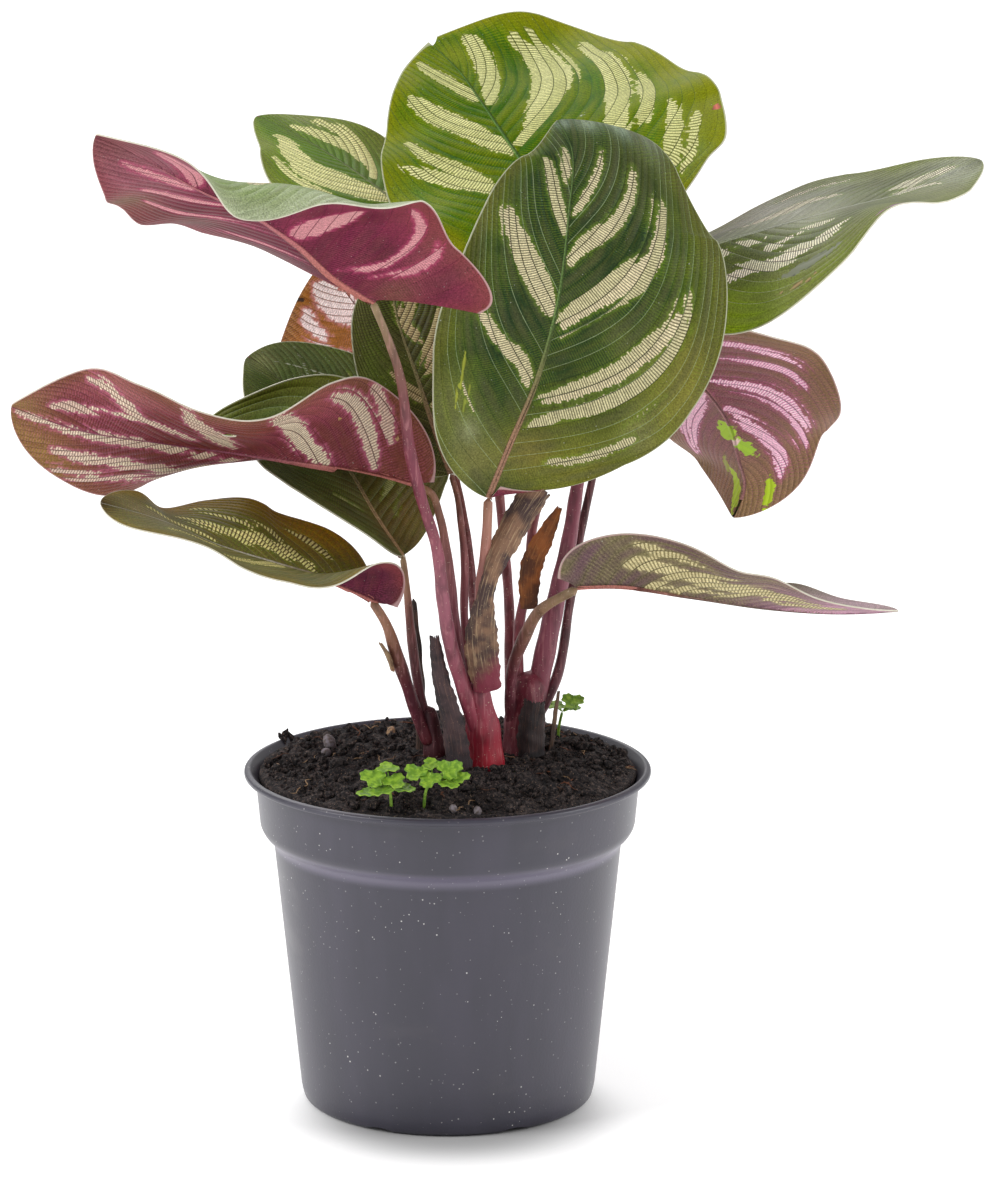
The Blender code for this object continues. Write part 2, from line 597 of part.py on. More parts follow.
# Each seedling is its stem's points and its leaflets: centre, size and the way the tip points, round from +X
SEEDLINGS = {
    "seedling_front_left": (
        [(-16, -50, STEM_FOOT), (-16, -50, 105), (-16.5, -50.5, 109)],
        [((-21, -51, 111), 3.6, 160), ((-15, -51.5, 110), 3.2, 60), ((-19, -54, 108.5), 3.2, 230),
         ((-12, -52, 108), 3.0, 330)],
    ),
    "seedling_front_right": (
        [(-6, -48, STEM_FOOT), (-6, -48, 106), (-4.5, -48.5, 110)],
        [((-9, -49, 111), 3.0, 130), ((-5, -51, 110.5), 3.2, 250), ((1, -49, 112.5), 3.6, 30),
         ((-4, -46, 112.5), 3.2, 110), ((0, -52, 109.5), 2.8, 310)],
    ),
    "seedling_back": (
        [(33, 22, STEM_FOOT), (33, 22, 107), (34, 21.5, 112)],
        [((37, 21, 115), 3.4, 20), ((32, 20, 114), 2.8, 200), ((37, 24, 112.5), 2.6, 80)],
    ),
}


def leaflet(place, size, degrees, collection):
    """A small three-lobed leaf: a flat outline whose radius swells three times on its way round."""
    curve = bpy.data.curves.new("leaflet", "CURVE")
    curve.dimensions = "2D"
    curve.fill_mode = "BOTH"
    curve.extrude = LEAFLET_THICKNESS / 2 * MM
    spline = curve.splines.new("POLY")
    spline.use_cyclic_u = True
    count = 12
    spline.points.add(count - 1)
    for i, point in enumerate(spline.points):
        angle = 2 * pi * i / count
        reach = size * (0.66 + 0.34 * cos(3 * angle)) * MM
        point.co = (reach * cos(angle), reach * sin(angle), 0, 1)
    made = bpy.data.objects.new("leaflet", curve)
    made.location = [c * MM for c in place]
    made.rotation_euler = (0, radians(-12), radians(degrees))
    collection.objects.link(made)
    bpy.context.view_layer.update()
    return as_mesh(made, "leaflet", collection)


def make_seedling(name, stem, leaflets, collection, finish):
    """A stem with a short stalk to each leaflet, all one body."""
    joined = new_collection(name + " parts")
    body = tube(name, stem, (STEM_RADIUS, STEM_RADIUS), collection, point_gap=4.0, sides=1)
    x, y, top = stem[-1]
    for place, size, degrees in leaflets:
        tube("stalk", [(x, y, top - STEM_RADIUS), place], (0.8 * STEM_RADIUS, 0.7 * STEM_RADIUS), joined, sides=1)
        leaflet(place, size, degrees, joined)
    boolean(body, "UNION", joined)
    seedling = as_mesh(body, name, collection)
    seedling.data.materials.clear()
    seedling.data.materials.append(finish)
    remove_collection(joined)


def build():
    remove_scene_objects()
    plant = new_collection("Potted peacock plant")
    pot_cutters, soil_cutters = new_collection("Pot cutters"), new_collection("Soil cutters")
    plastic = material("Dark grey plastic", (0.10, 0.10, 0.13), 0.55)
    peat = material("Peat", (0.02, 0.014, 0.01), 0.95)
    green = material("Leaf green", (0.07, 0.14, 0.03), 0.4)
    stalk = material("Stalk red", (0.25, 0.05, 0.08), 0.45)
    dry = material("Dry sheath", (0.16, 0.09, 0.05), 0.8)
    fresh = material("Seedling green", (0.25, 0.5, 0.05), 0.5)
    make_pot(plant, pot_cutters, plastic)
    make_soil(plant, soil_cutters, peat)
    for name, blade in LEAVES.items():
        make_blade("blade_" + name, blade, plant, green)
    make_shoot("shoot_left", LEFT_SHOOT, LEFT_RADIUS, LEFT_TOP, LEFT_STALKS, plant, stalk)
    make_shoot("shoot_middle", MIDDLE_SHOOT, MIDDLE_RADIUS, MIDDLE_TOP, MIDDLE_STALKS, plant, stalk)
    make_shoot("shoot_right", RIGHT_SHOOT, RIGHT_RADIUS, RIGHT_TOP, RIGHT_STALKS, plant, stalk)
    dead = tube("stalk_dead", DEAD_STALK, DEAD_RADII, plant, point_gap=6.0)
    dead.data.materials.append(dry)
    for name, sheath in SHEATHS.items():
        make_sheath(name, sheath, plant, dry)
    for name, (stem, leaflets) in SEEDLINGS.items():
        make_seedling(name, stem, leaflets, plant, fresh)
    hide(pot_cutters)
    hide(soil_cutters)


build()
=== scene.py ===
# %% [markdown]
# # A potted peacock plant
# The object is a young peacock plant, Calathea makoyana, in the thin plastic pot that a nursery sells it
# in. Its solids are already made and packed, in metres, with the middle of the pot's underside at the
# origin. This script dresses them: every solid is kept as the guide for size and place, and a finer piece
# with its true surface takes its place. Nothing else is read from disk.

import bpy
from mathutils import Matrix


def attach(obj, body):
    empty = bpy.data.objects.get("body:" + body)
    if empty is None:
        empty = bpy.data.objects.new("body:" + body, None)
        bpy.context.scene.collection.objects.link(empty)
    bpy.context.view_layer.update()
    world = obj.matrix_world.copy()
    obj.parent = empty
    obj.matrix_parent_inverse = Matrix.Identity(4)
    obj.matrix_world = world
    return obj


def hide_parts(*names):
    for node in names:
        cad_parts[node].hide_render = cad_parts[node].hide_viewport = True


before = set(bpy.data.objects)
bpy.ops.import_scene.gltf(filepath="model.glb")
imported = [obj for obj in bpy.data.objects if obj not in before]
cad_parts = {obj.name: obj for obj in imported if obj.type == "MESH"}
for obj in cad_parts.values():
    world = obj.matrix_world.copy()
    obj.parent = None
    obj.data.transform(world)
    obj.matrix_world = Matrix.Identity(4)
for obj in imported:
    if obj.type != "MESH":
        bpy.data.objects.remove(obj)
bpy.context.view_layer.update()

# %% Modules
from contextlib import contextmanager
from dataclasses import dataclass, field
from math import cos, pi, radians, sin

import bpy
import numpy as np

MM = 0.001
rng = np.random.default_rng(7)

# %% [markdown]
# ## Camera
# The picture was taken from about two metres away and a little above the leaves, with a long lens, so the
# pot's sides stay nearly parallel. The rim and the soil's edge are ellipses in the picture, and their
# shapes give the camera's tilt: 13.65 degrees downwards.

# %% Camera
CAMERA_PLACE = (0.0144, -2.0, 0.637)
CAMERA_TILT = 13.65
LENS = 210.6

bpy.ops.object.select_all(action="DESELECT")
bpy.ops.object.camera_add(location=CAMERA_PLACE, rotation=(radians(90 - CAMERA_TILT), 0, 0))
camera = bpy.context.active_object
camera.name = "camera"
camera.data.lens = LENS
camera.data.clip_end = 20
bpy.context.scene.camera = camera
print("camera at", CAMERA_PLACE, "lens", LENS)

# %% [markdown]
# ## Studio
# The plant stands on plain white, lit from all round by pale walls, with one large soft light high on the
# left and a weaker one on the right. The soft grey shadow that hugs the pot is cast by the lights and also
# painted into the paper: near the pot its colour is darker and its faint glow, which keeps it white
# elsewhere, fades out. The Standard view keeps white paper white.

# %% Studio
# A painted shadow: within SHADOW_END of SHADOW_MIDDLE the paper's colour darkens and its glow fades to
# nothing.
SHADOW_MIDDLE = (0.002, -0.022, 0)
SHADOW_DARK, SHADOW_END = 0.020, 0.059  # metres from its middle
PAPER = {"Base Color": (0.46, 0.92), "Emission Strength": (0.0, 0.36)}  # in the shadow and far from it
LIGHTS = {  # place, what it looks at, size in metres and watts
    "left light": ((-1.7, -0.7, 1.4), (0, 0, 0.15), 1.0, 26),
    "right light": ((1.8, -0.3, 0.9), (0, 0, 0.15), 0.9, 14),
    "back light": ((-0.3, 1.6, 1.6), (0, 0, 0.2), 1.4, 14),
}
WALLS = 0.52

bpy.ops.mesh.primitive_plane_add(size=12)
floor = bpy.context.active_object
floor.name = "studio_floor"
paper = bpy.data.materials.new("white paper")
paper.use_nodes = True
paper_tree, paper_shader = paper.node_tree, paper.node_tree.nodes["Principled BSDF"].inputs
paper_place = paper_tree.nodes.new("ShaderNodeTexCoord")
to_middle = paper_tree.nodes.new("ShaderNodeVectorMath")
to_middle.operation = "DISTANCE"
to_middle.inputs[1].default_value = SHADOW_MIDDLE
paper_tree.links.new(paper_place.outputs["Object"], to_middle.inputs[0])
for label, (near, far) in PAPER.items():
    shade = paper_tree.nodes.new("ShaderNodeMapRange")
    shade.data_type, shade.interpolation_type = "FLOAT_VECTOR", "SMOOTHERSTEP"
    for place, given in enumerate((SHADOW_DARK, SHADOW_END, near, far), start=7):
        shade.inputs[place].default_value = (given,) * 3
    paper_tree.links.new(to_middle.outputs["Value"], shade.inputs["Vector"])
    paper_tree.links.new(shade.outputs["Vector"], paper_shader[label])
paper_shader["Roughness"].default_value = 0.9
paper_shader["Specular IOR Level"].default_value = 0.1
paper_shader["Emission Color"].default_value = (1, 1, 1, 1)
floor.data.materials.append(paper)

for label, (place, aim, size, watts) in LIGHTS.items():
    bpy.ops.object.light_add(type="AREA", location=place)
    light = bpy.context.active_object
    light.name, light.data.size, light.data.energy = label, size, watts
    away = light.location - type(light.location)(aim)
    light.rotation_euler = away.to_track_quat("Z", "Y").to_euler()
world = bpy.data.worlds.new("pale walls")
world.use_nodes = True
world.node_tree.nodes["Background"].inputs["Color"].default_value = (1, 1, 1, 1)
world.node_tree.nodes["Background"].inputs["Strength"].default_value = WALLS
bpy.context.scene.world = world
bpy.context.scene.view_settings.view_transform = "Standard"

# %% [markdown]
# ## Small tools for shader nodes
# A finish is easier to read as sums. A `Value` is a socket of the tree that is being drawn, and signs
# between values add the math nodes. `group` opens a node group whose inputs are named for what they do on
# the plant, `close` gives it its outputs, and `finish_from` makes a material of it.

# %% Shader tools
tree = None  # the node tree that is being drawn


class Value:
    """The output of a node, for use in sums with numbers and other values."""

    def __init__(self, socket):
        self.socket = socket

    def __add__(self, other):
        return math("ADD", self, other)

    def __sub__(self, other):
        return math("SUBTRACT", self, other)

    def __rsub__(self, other):
        return math("SUBTRACT", other, self)

    def __mul__(self, other):
        return math("MULTIPLY", self, other)

    def __truediv__(self, other):
        return math("DIVIDE", self, other)


def feed(socket, value):
    """Links value to the socket if it is a node's output, or sets it."""
    if isinstance(value, Value):
        tree.links.new(value.socket, socket)
    else:
        socket.default_value = value


def node(kind, inputs, output=0, **settings):
    """Adds a node with these inputs, by their place or name, and gives one of its outputs."""
    made = tree.nodes.new("ShaderNode" + kind)
    for label, value in settings.items():
        setattr(made, label, value)
    for place, value in inputs.items():
        feed(made.inputs[place], value)
    return Value(made.outputs[output])


def math(operation, *values, **settings):
    return node("Math", dict(enumerate(values)), operation=operation, **settings)


def between(value, low, high, to_low=0.0, to_high=1.0):
    """A smooth step of value from to_low at low to to_high at high."""
    inputs = enumerate((value, low, high, to_low, to_high))
    return node("MapRange", dict(inputs), interpolation_type="SMOOTHSTEP")


def mix(share, first, second, blend="MIX"):
    return node("Mix", {0: share, 6: first, 7: second}, 2, data_type="RGBA", blend_type=blend)


def attribute(name, output="Fac"):
    return node("Attribute", {}, output, attribute_name=name)


def vector(*values):
    return node("CombineXYZ", dict(enumerate(values)))


def noise(place, scale, detail=2.0, roughness=0.5):
    """Soft cloud noise from 0 to 1. place is a vector, in the units that scale is per."""
    inputs = {"Vector": place, "Scale": scale, "Detail": detail, "Roughness": roughness}
    return node("TexNoise", inputs, "Fac")


def chance(place):
    """A random number from 0 to 1 for each whole-numbered place."""
    return node("TexWhiteNoise", {"Vector": place}, "Value", noise_dimensions="3D")


def object_place(*stretch):
    """Where the point is on the object in millimetres, stretched for noise that has a grain."""
    place = node("TexCoord", {}, "Object")
    return node("Mapping", {"Vector": place, "Scale": [s / MM for s in stretch or (1, 1, 1)]})


def colour(red, green, blue):
    """A colour given as screen values from 0 to 255, as the linear numbers that a shader takes."""
    shares = [c / 255 for c in (red, green, blue)]
    return (*(s / 12.92 if s <= 0.04045 else ((s + 0.055) / 1.055) ** 2.4 for s in shares), 1.0)


def group(name, **inputs):
    """Opens a new node group. Its inputs are numbers, or colours as screen values."""
    global tree
    tree = bpy.data.node_groups.new(name, "ShaderNodeTree")
    for label, given in inputs.items():
        kind = "NodeSocketColor" if isinstance(given, tuple) else "NodeSocketFloat"
        socket = tree.interface.new_socket(label.replace("_", " "), in_out="INPUT", socket_type=kind)
        socket.default_value = colour(*given) if isinstance(given, tuple) else given
    return {socket.name: Value(socket) for socket in tree.nodes.new("NodeGroupInput").outputs if socket.name}


def close(**values):
    """Gives the open group its outputs."""
    for label in values:
        kind = "NodeSocketColor" if label == "Colour" else "NodeSocketFloat"
        tree.interface.new_socket(label, in_out="OUTPUT", socket_type=kind)
    end = tree.nodes.new("NodeGroupOutput")
    for label, value in values.items():
        feed(end.inputs[label], value)
    print(f"{tree.name}: {len(tree.nodes)} nodes")
    return tree


def finish_from(name, skin, settings=None, stored=None, **inputs):
    """A material whose colour, roughness and relief, in millimetres, come from a node group.

    settings are for the shader. stored says which inputs are read from the mesh, as (attribute, output).
    """
    global tree
    made = bpy.data.materials.new(name)
    made.use_nodes = True
    tree = made.node_tree
    shader = tree.nodes["Principled BSDF"].inputs
    used = tree.nodes.new("ShaderNodeGroup")
    used.node_tree = skin
    for label, given in inputs.items():
        feed(used.inputs[label.replace("_", " ")], colour(*given) if isinstance(given, tuple) else given)
    for label, (kept, output) in (stored or {}).items():
        feed(used.inputs[label], attribute(kept, output))
    feed(shader["Base Color"], Value(used.outputs["Colour"]))
    feed(shader["Roughness"], Value(used.outputs["Roughness"]))
    feed(shader["Normal"], node("Bump", {"Distance": MM, "Height": Value(used.outputs["Height"])}, "Normal"))
    for label, value in (settings or {}).items():
        shader[label].default_value = value
    return made


# %% [markdown]
# ## Small tools for meshes
# Each piece starts as a primitive that is added with an operator. Curved plant parts get their final places
# from a formula, because no operator bends a leaf: the grid or tube is made first, then its points are set
# at once.

# %% Mesh tools


def choose(*pieces):
    """Selects these objects and nothing else. The first is the active one."""
    bpy.ops.object.select_all(action="DESELECT")
    for piece in pieces:
        piece.select_set(True)
    if pieces:
        bpy.context.view_layer.objects.active = pieces[0]


@contextmanager
def edit_mode(action=None, kind=None):
    """Edit mode for the lines inside it, with everything or nothing selected if an action is given."""
    bpy.ops.object.mode_set(mode="EDIT")
    if kind:
        bpy.ops.mesh.select_mode(type=kind)
    if action:
        bpy.ops.mesh.select_all(action=action)
    yield
    bpy.ops.object.mode_set(mode="OBJECT")


def pick(parts, kind, chosen):
    """Selects only the chosen ones of the active object's edges or faces."""
    with edit_mode("DESELECT", kind):
        pass
    parts.foreach_set("select", chosen)


def new_piece(name):
    """The object that an operator has just added, named for what it is."""
    piece = bpy.context.active_object
    piece.name = piece.data.name = name
    return piece


def new_grid(name, rows, columns):
    """A flat grid, with each point's place on it from -1 to 1 both ways."""
    choose()
    bpy.ops.mesh.primitive_grid_add(x_subdivisions=rows, y_subdivisions=columns, size=2)
    grid = new_piece(name)
    return grid, places_of(grid) * MM


def places_of(piece):
    """The piece's points as an array in millimetres."""
    flat = np.empty(len(piece.data.vertices) * 3)
    piece.data.vertices.foreach_get("co", flat)
    return flat.reshape(-1, 3) / MM


def set_places(piece, places):
    piece.data.vertices.foreach_set("co", (np.asarray(places) * MM).ravel())
    piece.data.update()


def set_values(piece, **marks):
    """Stores one number or one colour for each point under each name, for the shader to read."""
    for name, values in marks.items():
        values = np.asarray(values, float)
        kind, label = ("FLOAT", "value") if values.ndim == 1 else ("FLOAT_COLOR", "color")
        piece.data.attributes.new(name, kind, "POINT").data.foreach_set(label, values.ravel())


def apply(piece, kind, **settings):
    """Adds a modifier with these settings and applies it."""
    choose(piece)
    made = piece.modifiers.new(kind.title(), kind)
    for label, value in settings.items():
        setattr(made, label, value)
    bpy.ops.object.modifier_apply(modifier=made.name)


def smooth_shade(piece, degrees=60):
    choose(piece)
    bpy.ops.object.shade_smooth_by_angle(angle=radians(degrees))


def join(pieces, name, finish):
    """Several objects as one piece with one finish."""
    choose(*pieces)
    bpy.ops.object.join()
    piece = new_piece(name)
    piece.data.materials.clear()
    piece.data.materials.append(finish)
    return piece


def stands_for(piece, slot, *nodes):
    """The piece rides on the plant and takes the place of these solids."""
    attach(piece, "root")
    if nodes:
        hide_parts(*nodes)
    print(f"{piece.name}: {sum(len(p.vertices) - 2 for p in piece.data.polygons)} triangles")


# %% Curves through given points


def unit(vectors):
    return vectors / np.linalg.norm(vectors, axis=-1, keepdims=True)


def spans_of(points):
    return np.linalg.norm(np.diff(np.asarray(points, float), axis=0), axis=1)


def steps_along(points):
    """Each point's share of the way along, from 0 to 1."""
    spans = spans_of(points)
    return np.concatenate([[0.0], np.cumsum(spans)]) / spans.sum()


def smooth(points, steps, where):
    """A cubic curve through the points, which lie at the given steps, read at each place in where."""
    points = np.asarray(points, float).reshape(len(points), -1)
    spans = np.diff(steps)[:, None]
    slopes = np.diff(points, axis=0) / spans
    tangents = np.empty_like(points)
    tangents[1:-1] = (slopes[:-1] * spans[1:] + slopes[1:] * spans[:-1]) / (spans[1:] + spans[:-1])
    tangents[0] = 1.5 * slopes[0] - 0.5 * tangents[1] if len(points) > 2 else slopes[0]
    tangents[-1] = 1.5 * slopes[-1] - 0.5 * tangents[-2] if len(points) > 2 else slopes[-1]
    i = np.clip(np.searchsorted(steps, where, side="right") - 1, 0, len(steps) - 2)
    t = ((where - np.asarray(steps)[i]) / spans[i, 0])[:, None]
    return (
        (2 * t**3 - 3 * t**2 + 1) * points[i]
        + (t**3 - 2 * t**2 + t) * spans[i] * tangents[i]
        + (3 * t**2 - 2 * t**3) * points[i + 1]
        + (t**3 - t**2) * spans[i] * tangents[i + 1]
    )


def evenly(values, where):
    """Values or points given at even steps from start to end, read at each place in where."""
    return smooth(values, np.linspace(0, 1, len(values)), where)


def even(values, where):
    return evenly(values, where)[:, 0]


# %% [markdown]
# ## The shape of a leaf blade
# A blade is two half blades along a midrib. Each half is given by how far it rises from the rib, how it
# curls towards its margin, and its outline, from base to tip. The solids were made by the same formula with
# few faces. Here the same numbers make a fine sheet, so the blade keeps its place.

# %% Leaf formula


@dataclass
class Blade:
    """Lists go from base to tip at even steps. Left and right are seen on the upper face, tip away."""

    rib: list
    facing: tuple
    width: tuple
    left: list
    right: list
    left_curl: tuple = (0, 0)
    right_curl: tuple = (0, 0)
    left_back: tuple = (0, 0)
    right_back: tuple = (0, 0)
    left_outline: tuple = (0.45, 0.62)
    right_outline: tuple = (0.45, 0.62)
    left_fullness: tuple = (1, 1)  # how full the half is against that outline
    right_fullness: tuple = (1, 1)
    left_wave: tuple = (0, 3, 0)  # height in mm, number of waves and where the first one starts
    right_wave: tuple = (0, 3, 0)

    def of(self, side, what):
        return getattr(self, ("right" if side > 0 else "left") + what)


def half_width(blade, side, along):
    """Millimetres from the rib to the margin along the bent blade."""
    base, tip = blade.of(side, "_outline")
    widest = base / (base + tip)
    outline = along**base * (1 - along) ** tip / (widest**base * (1 - widest) ** tip)
    return blade.width[side > 0] * (outline * even(blade.of(side, "_fullness"), along))


def width_at(blade, along, across):
    """The half width on the side where each place lies."""
    return np.where(across > 0, half_width(blade, 1, along), half_width(blade, -1, along))


def rib_frame(rib, facing, along):
    """The midrib's points with its direction, the blade's normal and its rightward direction there."""
    steps = steps_along(rib)
    ahead = smooth(rib, steps, np.clip(along + 0.001, 0, 1))
    behind = smooth(rib, steps, np.clip(along - 0.001, 0, 1))
    direction = unit(ahead - behind)
    facing = np.asarray(facing, float)
    normal = unit(facing - (direction @ facing)[:, None] * direction)
    return smooth(rib, steps, along), direction, normal, np.cross(direction, normal)


def half_blade(blade, side, along, across):
    """Points of one half, and the way its upper face looks, for each place along and share of the way out."""
    points, direction, normal, rightward = rib_frame(blade.rib, blade.facing, along)
    lift = np.radians(even(blade.of(side, ""), along))
    curl = np.radians(even(blade.of(side, "_curl"), along))
    curl = np.where(np.abs(curl) < 1e-4, 1e-4, curl)
    turn = lift + curl * across
    out = (np.sin(turn) - np.sin(lift)) / curl
    up = (np.cos(lift) - np.cos(turn)) / curl
    width = half_width(blade, side, along)
    place = points + width[:, None] * (side * out[:, None] * rightward + up[:, None] * normal)
    place -= (even(blade.of(side, "_back"), along) * across**1.5)[:, None] * direction
    outward = -side * np.sin(turn)[:, None] * rightward + np.cos(turn)[:, None] * normal
    height, waves, phase = blade.of(side, "_wave")
    wave = height * np.sin(2 * pi * (waves * along + phase)) * np.sqrt(np.sin(pi * along)) * across**2.2
    return place + wave[:, None] * outward, outward


def blade_points(blade, along, across):
    """Points of the blade and its upper face's normals. Across runs from -1 on the left to 1 on the right."""
    left, left_normal = half_blade(blade, -1, along, np.abs(across))
    right, right_normal = half_blade(blade, 1, along, np.abs(across))
    on_right = (across > 0)[:, None]
    return np.where(on_right, right, left), np.where(on_right, right_normal, left_normal)


# %% The twelve blades
LEAVES = {
    "front": Blade(
        rib=[(12, -22, 187), (18, -26, 203), (26, -28, 223), (32, -28, 246), (35, -22, 270), (36, -12, 287),
            (32, -2, 294)],
        facing=(0.1, -1, 0.1), width=(32.5, 50), left=[10, 5, -5, 0, 5, 10], right=[5, 10, 5, 5, -5, -20],
        left_curl=[0, 10, 10, 10, 0, 0], right_curl=[0, -10, -10, -25, -30, -40],
        right_back=[-5, -8, -3, 0, 0, 0], left_outline=(0.6, 0.8), right_outline=(0.52, 0.42),
        left_wave=(0.6, 2, 0), right_wave=(0.5, 3, 0)),
    "back_top": Blade(
        rib=[(43, 20, 243), (34, 34, 258), (20, 58, 274), (10, 80, 285), (2, 98, 293), (-5, 108, 298)],
        facing=(0.1, -0.8, 0.6), width=(43, 60), left=[10, 10, 5, 0, 0, 0],
        right=[35, 25, 15, 5, -10, -10], left_back=[0, 0, 0, 0, 0, 0, -1, -3, -6, -9, -2],
        right_back=[-2, -1, 9, 8, 12, 7, 1, -8, -24, -13, -3], left_outline=(0.6, 1),
        right_outline=(0.33, 0.45), left_wave=(2, 4, 0), right_wave=(2, 4, 0.5)),
    "left_back": Blade(
        rib=[(4, 40, 246), (-7, 52, 253), (-17, 64, 259), (-30, 78, 266), (-43, 90, 272), (-58, 98, 278)],
        facing=(0, -0.6, 0.8), width=(34, 33), left=[20, 20, 20, 25, 30, 35],
        right=[-35, -35, -35, -30, -20, -20], right_outline=(0.45, 0.75), left_wave=(1, 3, 0),
        right_wave=(1, 3, 0)),
    "upper_left": Blade(
        rib=[(-21, -42, 249), (-31, -52, 257), (-42, -66, 270), (-55, -80, 282), (-67, -92, 290),
            (-81, -102, 300), (-95, -106, 308)],
        facing=(-0.1, 0.7, 0.6), width=(46, 36), left=[-10, 10, 15, 0, 10, 0, -25, -40],
        right=[45, 45, 35, 30, 20, 20, 5, -10], left_curl=[0, 0, -20, -40, -80, -110, -20, 0],
        left_back=[27, 21, 10, 1, 0, 0, 0, 0], left_outline=(0.1, 0.6),
        left_fullness=[0.6, 0.65, 0.84, 1, 1, 1, 1, 1]),
    "left_middle": Blade(
        rib=[(-10, -14, 189), (-25, -16, 193), (-42, -20, 197), (-60, -24, 201), (-82, -28, 205),
            (-105, -30, 209), (-125, -26, 215)],
        facing=(0, 0, 1), width=(33, 34), left=[85, 90, 60, 30, 29, 46, 71, 30],
        right=[50, 50, 0, -50, -60, -50, -65, -90], right_curl=[0, 20, 100, 150, 70, 0, 0, 0],
        left_back=[6, 2, 0, 0, 0, 0]),
    "left_lower": Blade(
        rib=[(-22, -16, 155), (-34, -20, 162), (-48, -26, 168), (-65, -32, 175), (-82, -38, 184),
            (-99, -42, 190)],
        facing=(0, -0.3, 1), width=(26, 28), left=[95, 55, 20, 15, 15, 18, 10, -10],
        right=[20, 15, 10, 10, 0, -15, -5, 0], left_back=[8, 3, 0, 0, 0, 0]),
    "dark_left": Blade(
        rib=[(-13, -6, 166), (-21, -2, 177), (-28, 4, 188), (-37, 12, 198), (-45, 20, 208), (-55, 27, 216),
            (-59, 29, 218)],
        facing=(0, -0.9, 0.5), width=(27, 34), left=[70, 60, 40, 35, 40, 50],
        right=[-45, -30, -25, -20, -20, -20], left_wave=(1, 3, 0), right_wave=(1, 3, 0)),
    "middle": Blade(
        rib=[(1, 1, 189), (-4, 2, 203), (-9, 4, 218), (-14, 8, 232), (-17, 13, 244), (-20, 18, 249)],
        facing=(0, -1, 0.2), width=(17, 28), left=[10, 10, 10, 10, 0, 0], right=[10, 10, 10, 10, 0, 0],
        left_wave=(1, 3, 0), right_wave=(1, 3, 0)),
    "rust": Blade(
        rib=[(-2, 34, 198), (-13, 42, 211), (-23, 52, 223), (-31, 60, 232), (-38, 64, 239)],
        facing=(0.3, 1, 0.3), width=(30, 40), left=[10, 10, 10, 10, 0, 0],
        right=[-35, -35, -35, -35, -35, -35], left_wave=(1, 3, 0), right_wave=(1, 3, 0)),
    "right": Blade(
        rib=[(53, 2, 247), (65, 7, 252), (78, 13, 255), (102, 22, 260), (119, 30, 263), (133, 38, 265),
            (147, 46, 269), (158, 50, 273)],
        facing=(-0.1, -0.5, 0.85), width=(32, 36), left=[-35, -35, -35, -30, -25, -20, -20, -20],
        right=[-35, -25, -5, 15, 35, 30, 25, 20], left_outline=(0.75, 0.62)),
    "right_pink": Blade(
        rib=[(54, 16, 229), (65, 26, 220), (77, 38, 206), (83, 46, 196), (87, 58, 181), (89, 66, 170),
            (86, 70, 160)],
        facing=(0.3, 0.6, 0.7), width=(30, 36), left=[10, 10, 10, 10, 20, 60],
        right=[0, 10, 20, 25, 35, 30], left_back=[0, 0, 0, -2, -6, 0], left_outline=(0.6, 0.5),
        left_wave=(1, 3, 0), right_wave=(1, 3, 0)),
    "right_lower": Blade(
        rib=[(38, -14, 158), (50, -12, 158), (71, -10, 155), (94, -8, 151), (115, -6, 149), (132, -4, 149)],
        facing=(0, 0, 1), width=(22, 25), left=[60, 40, 10, 10, 5, 12, 4, 4],
        right=[80, 70, 50, 35, 35, 25, 20, 15], right_back=[6, 3, 0, 0, 0, 0, 0],
        right_outline=(0.3, 0.62), right_fullness=[0.8, 0.83, 1, 1, 1, 1, 1]),
}
print(len(LEAVES), "blades")

# %% [markdown]
# ## Where the markings lie
# The pale windows of a peacock plant follow its side veins, which leave the midrib and sweep towards the
# tip. Each window is given here by its half width in millimetres and a few points along its middle, as per
# cent of the way along the rib and per cent of the way out to the margin, left of the rib being negative.
# Laid on the flattened blade, the distance to that line says how deep inside a window a point is, and the
# shader draws the ragged edge from that number.

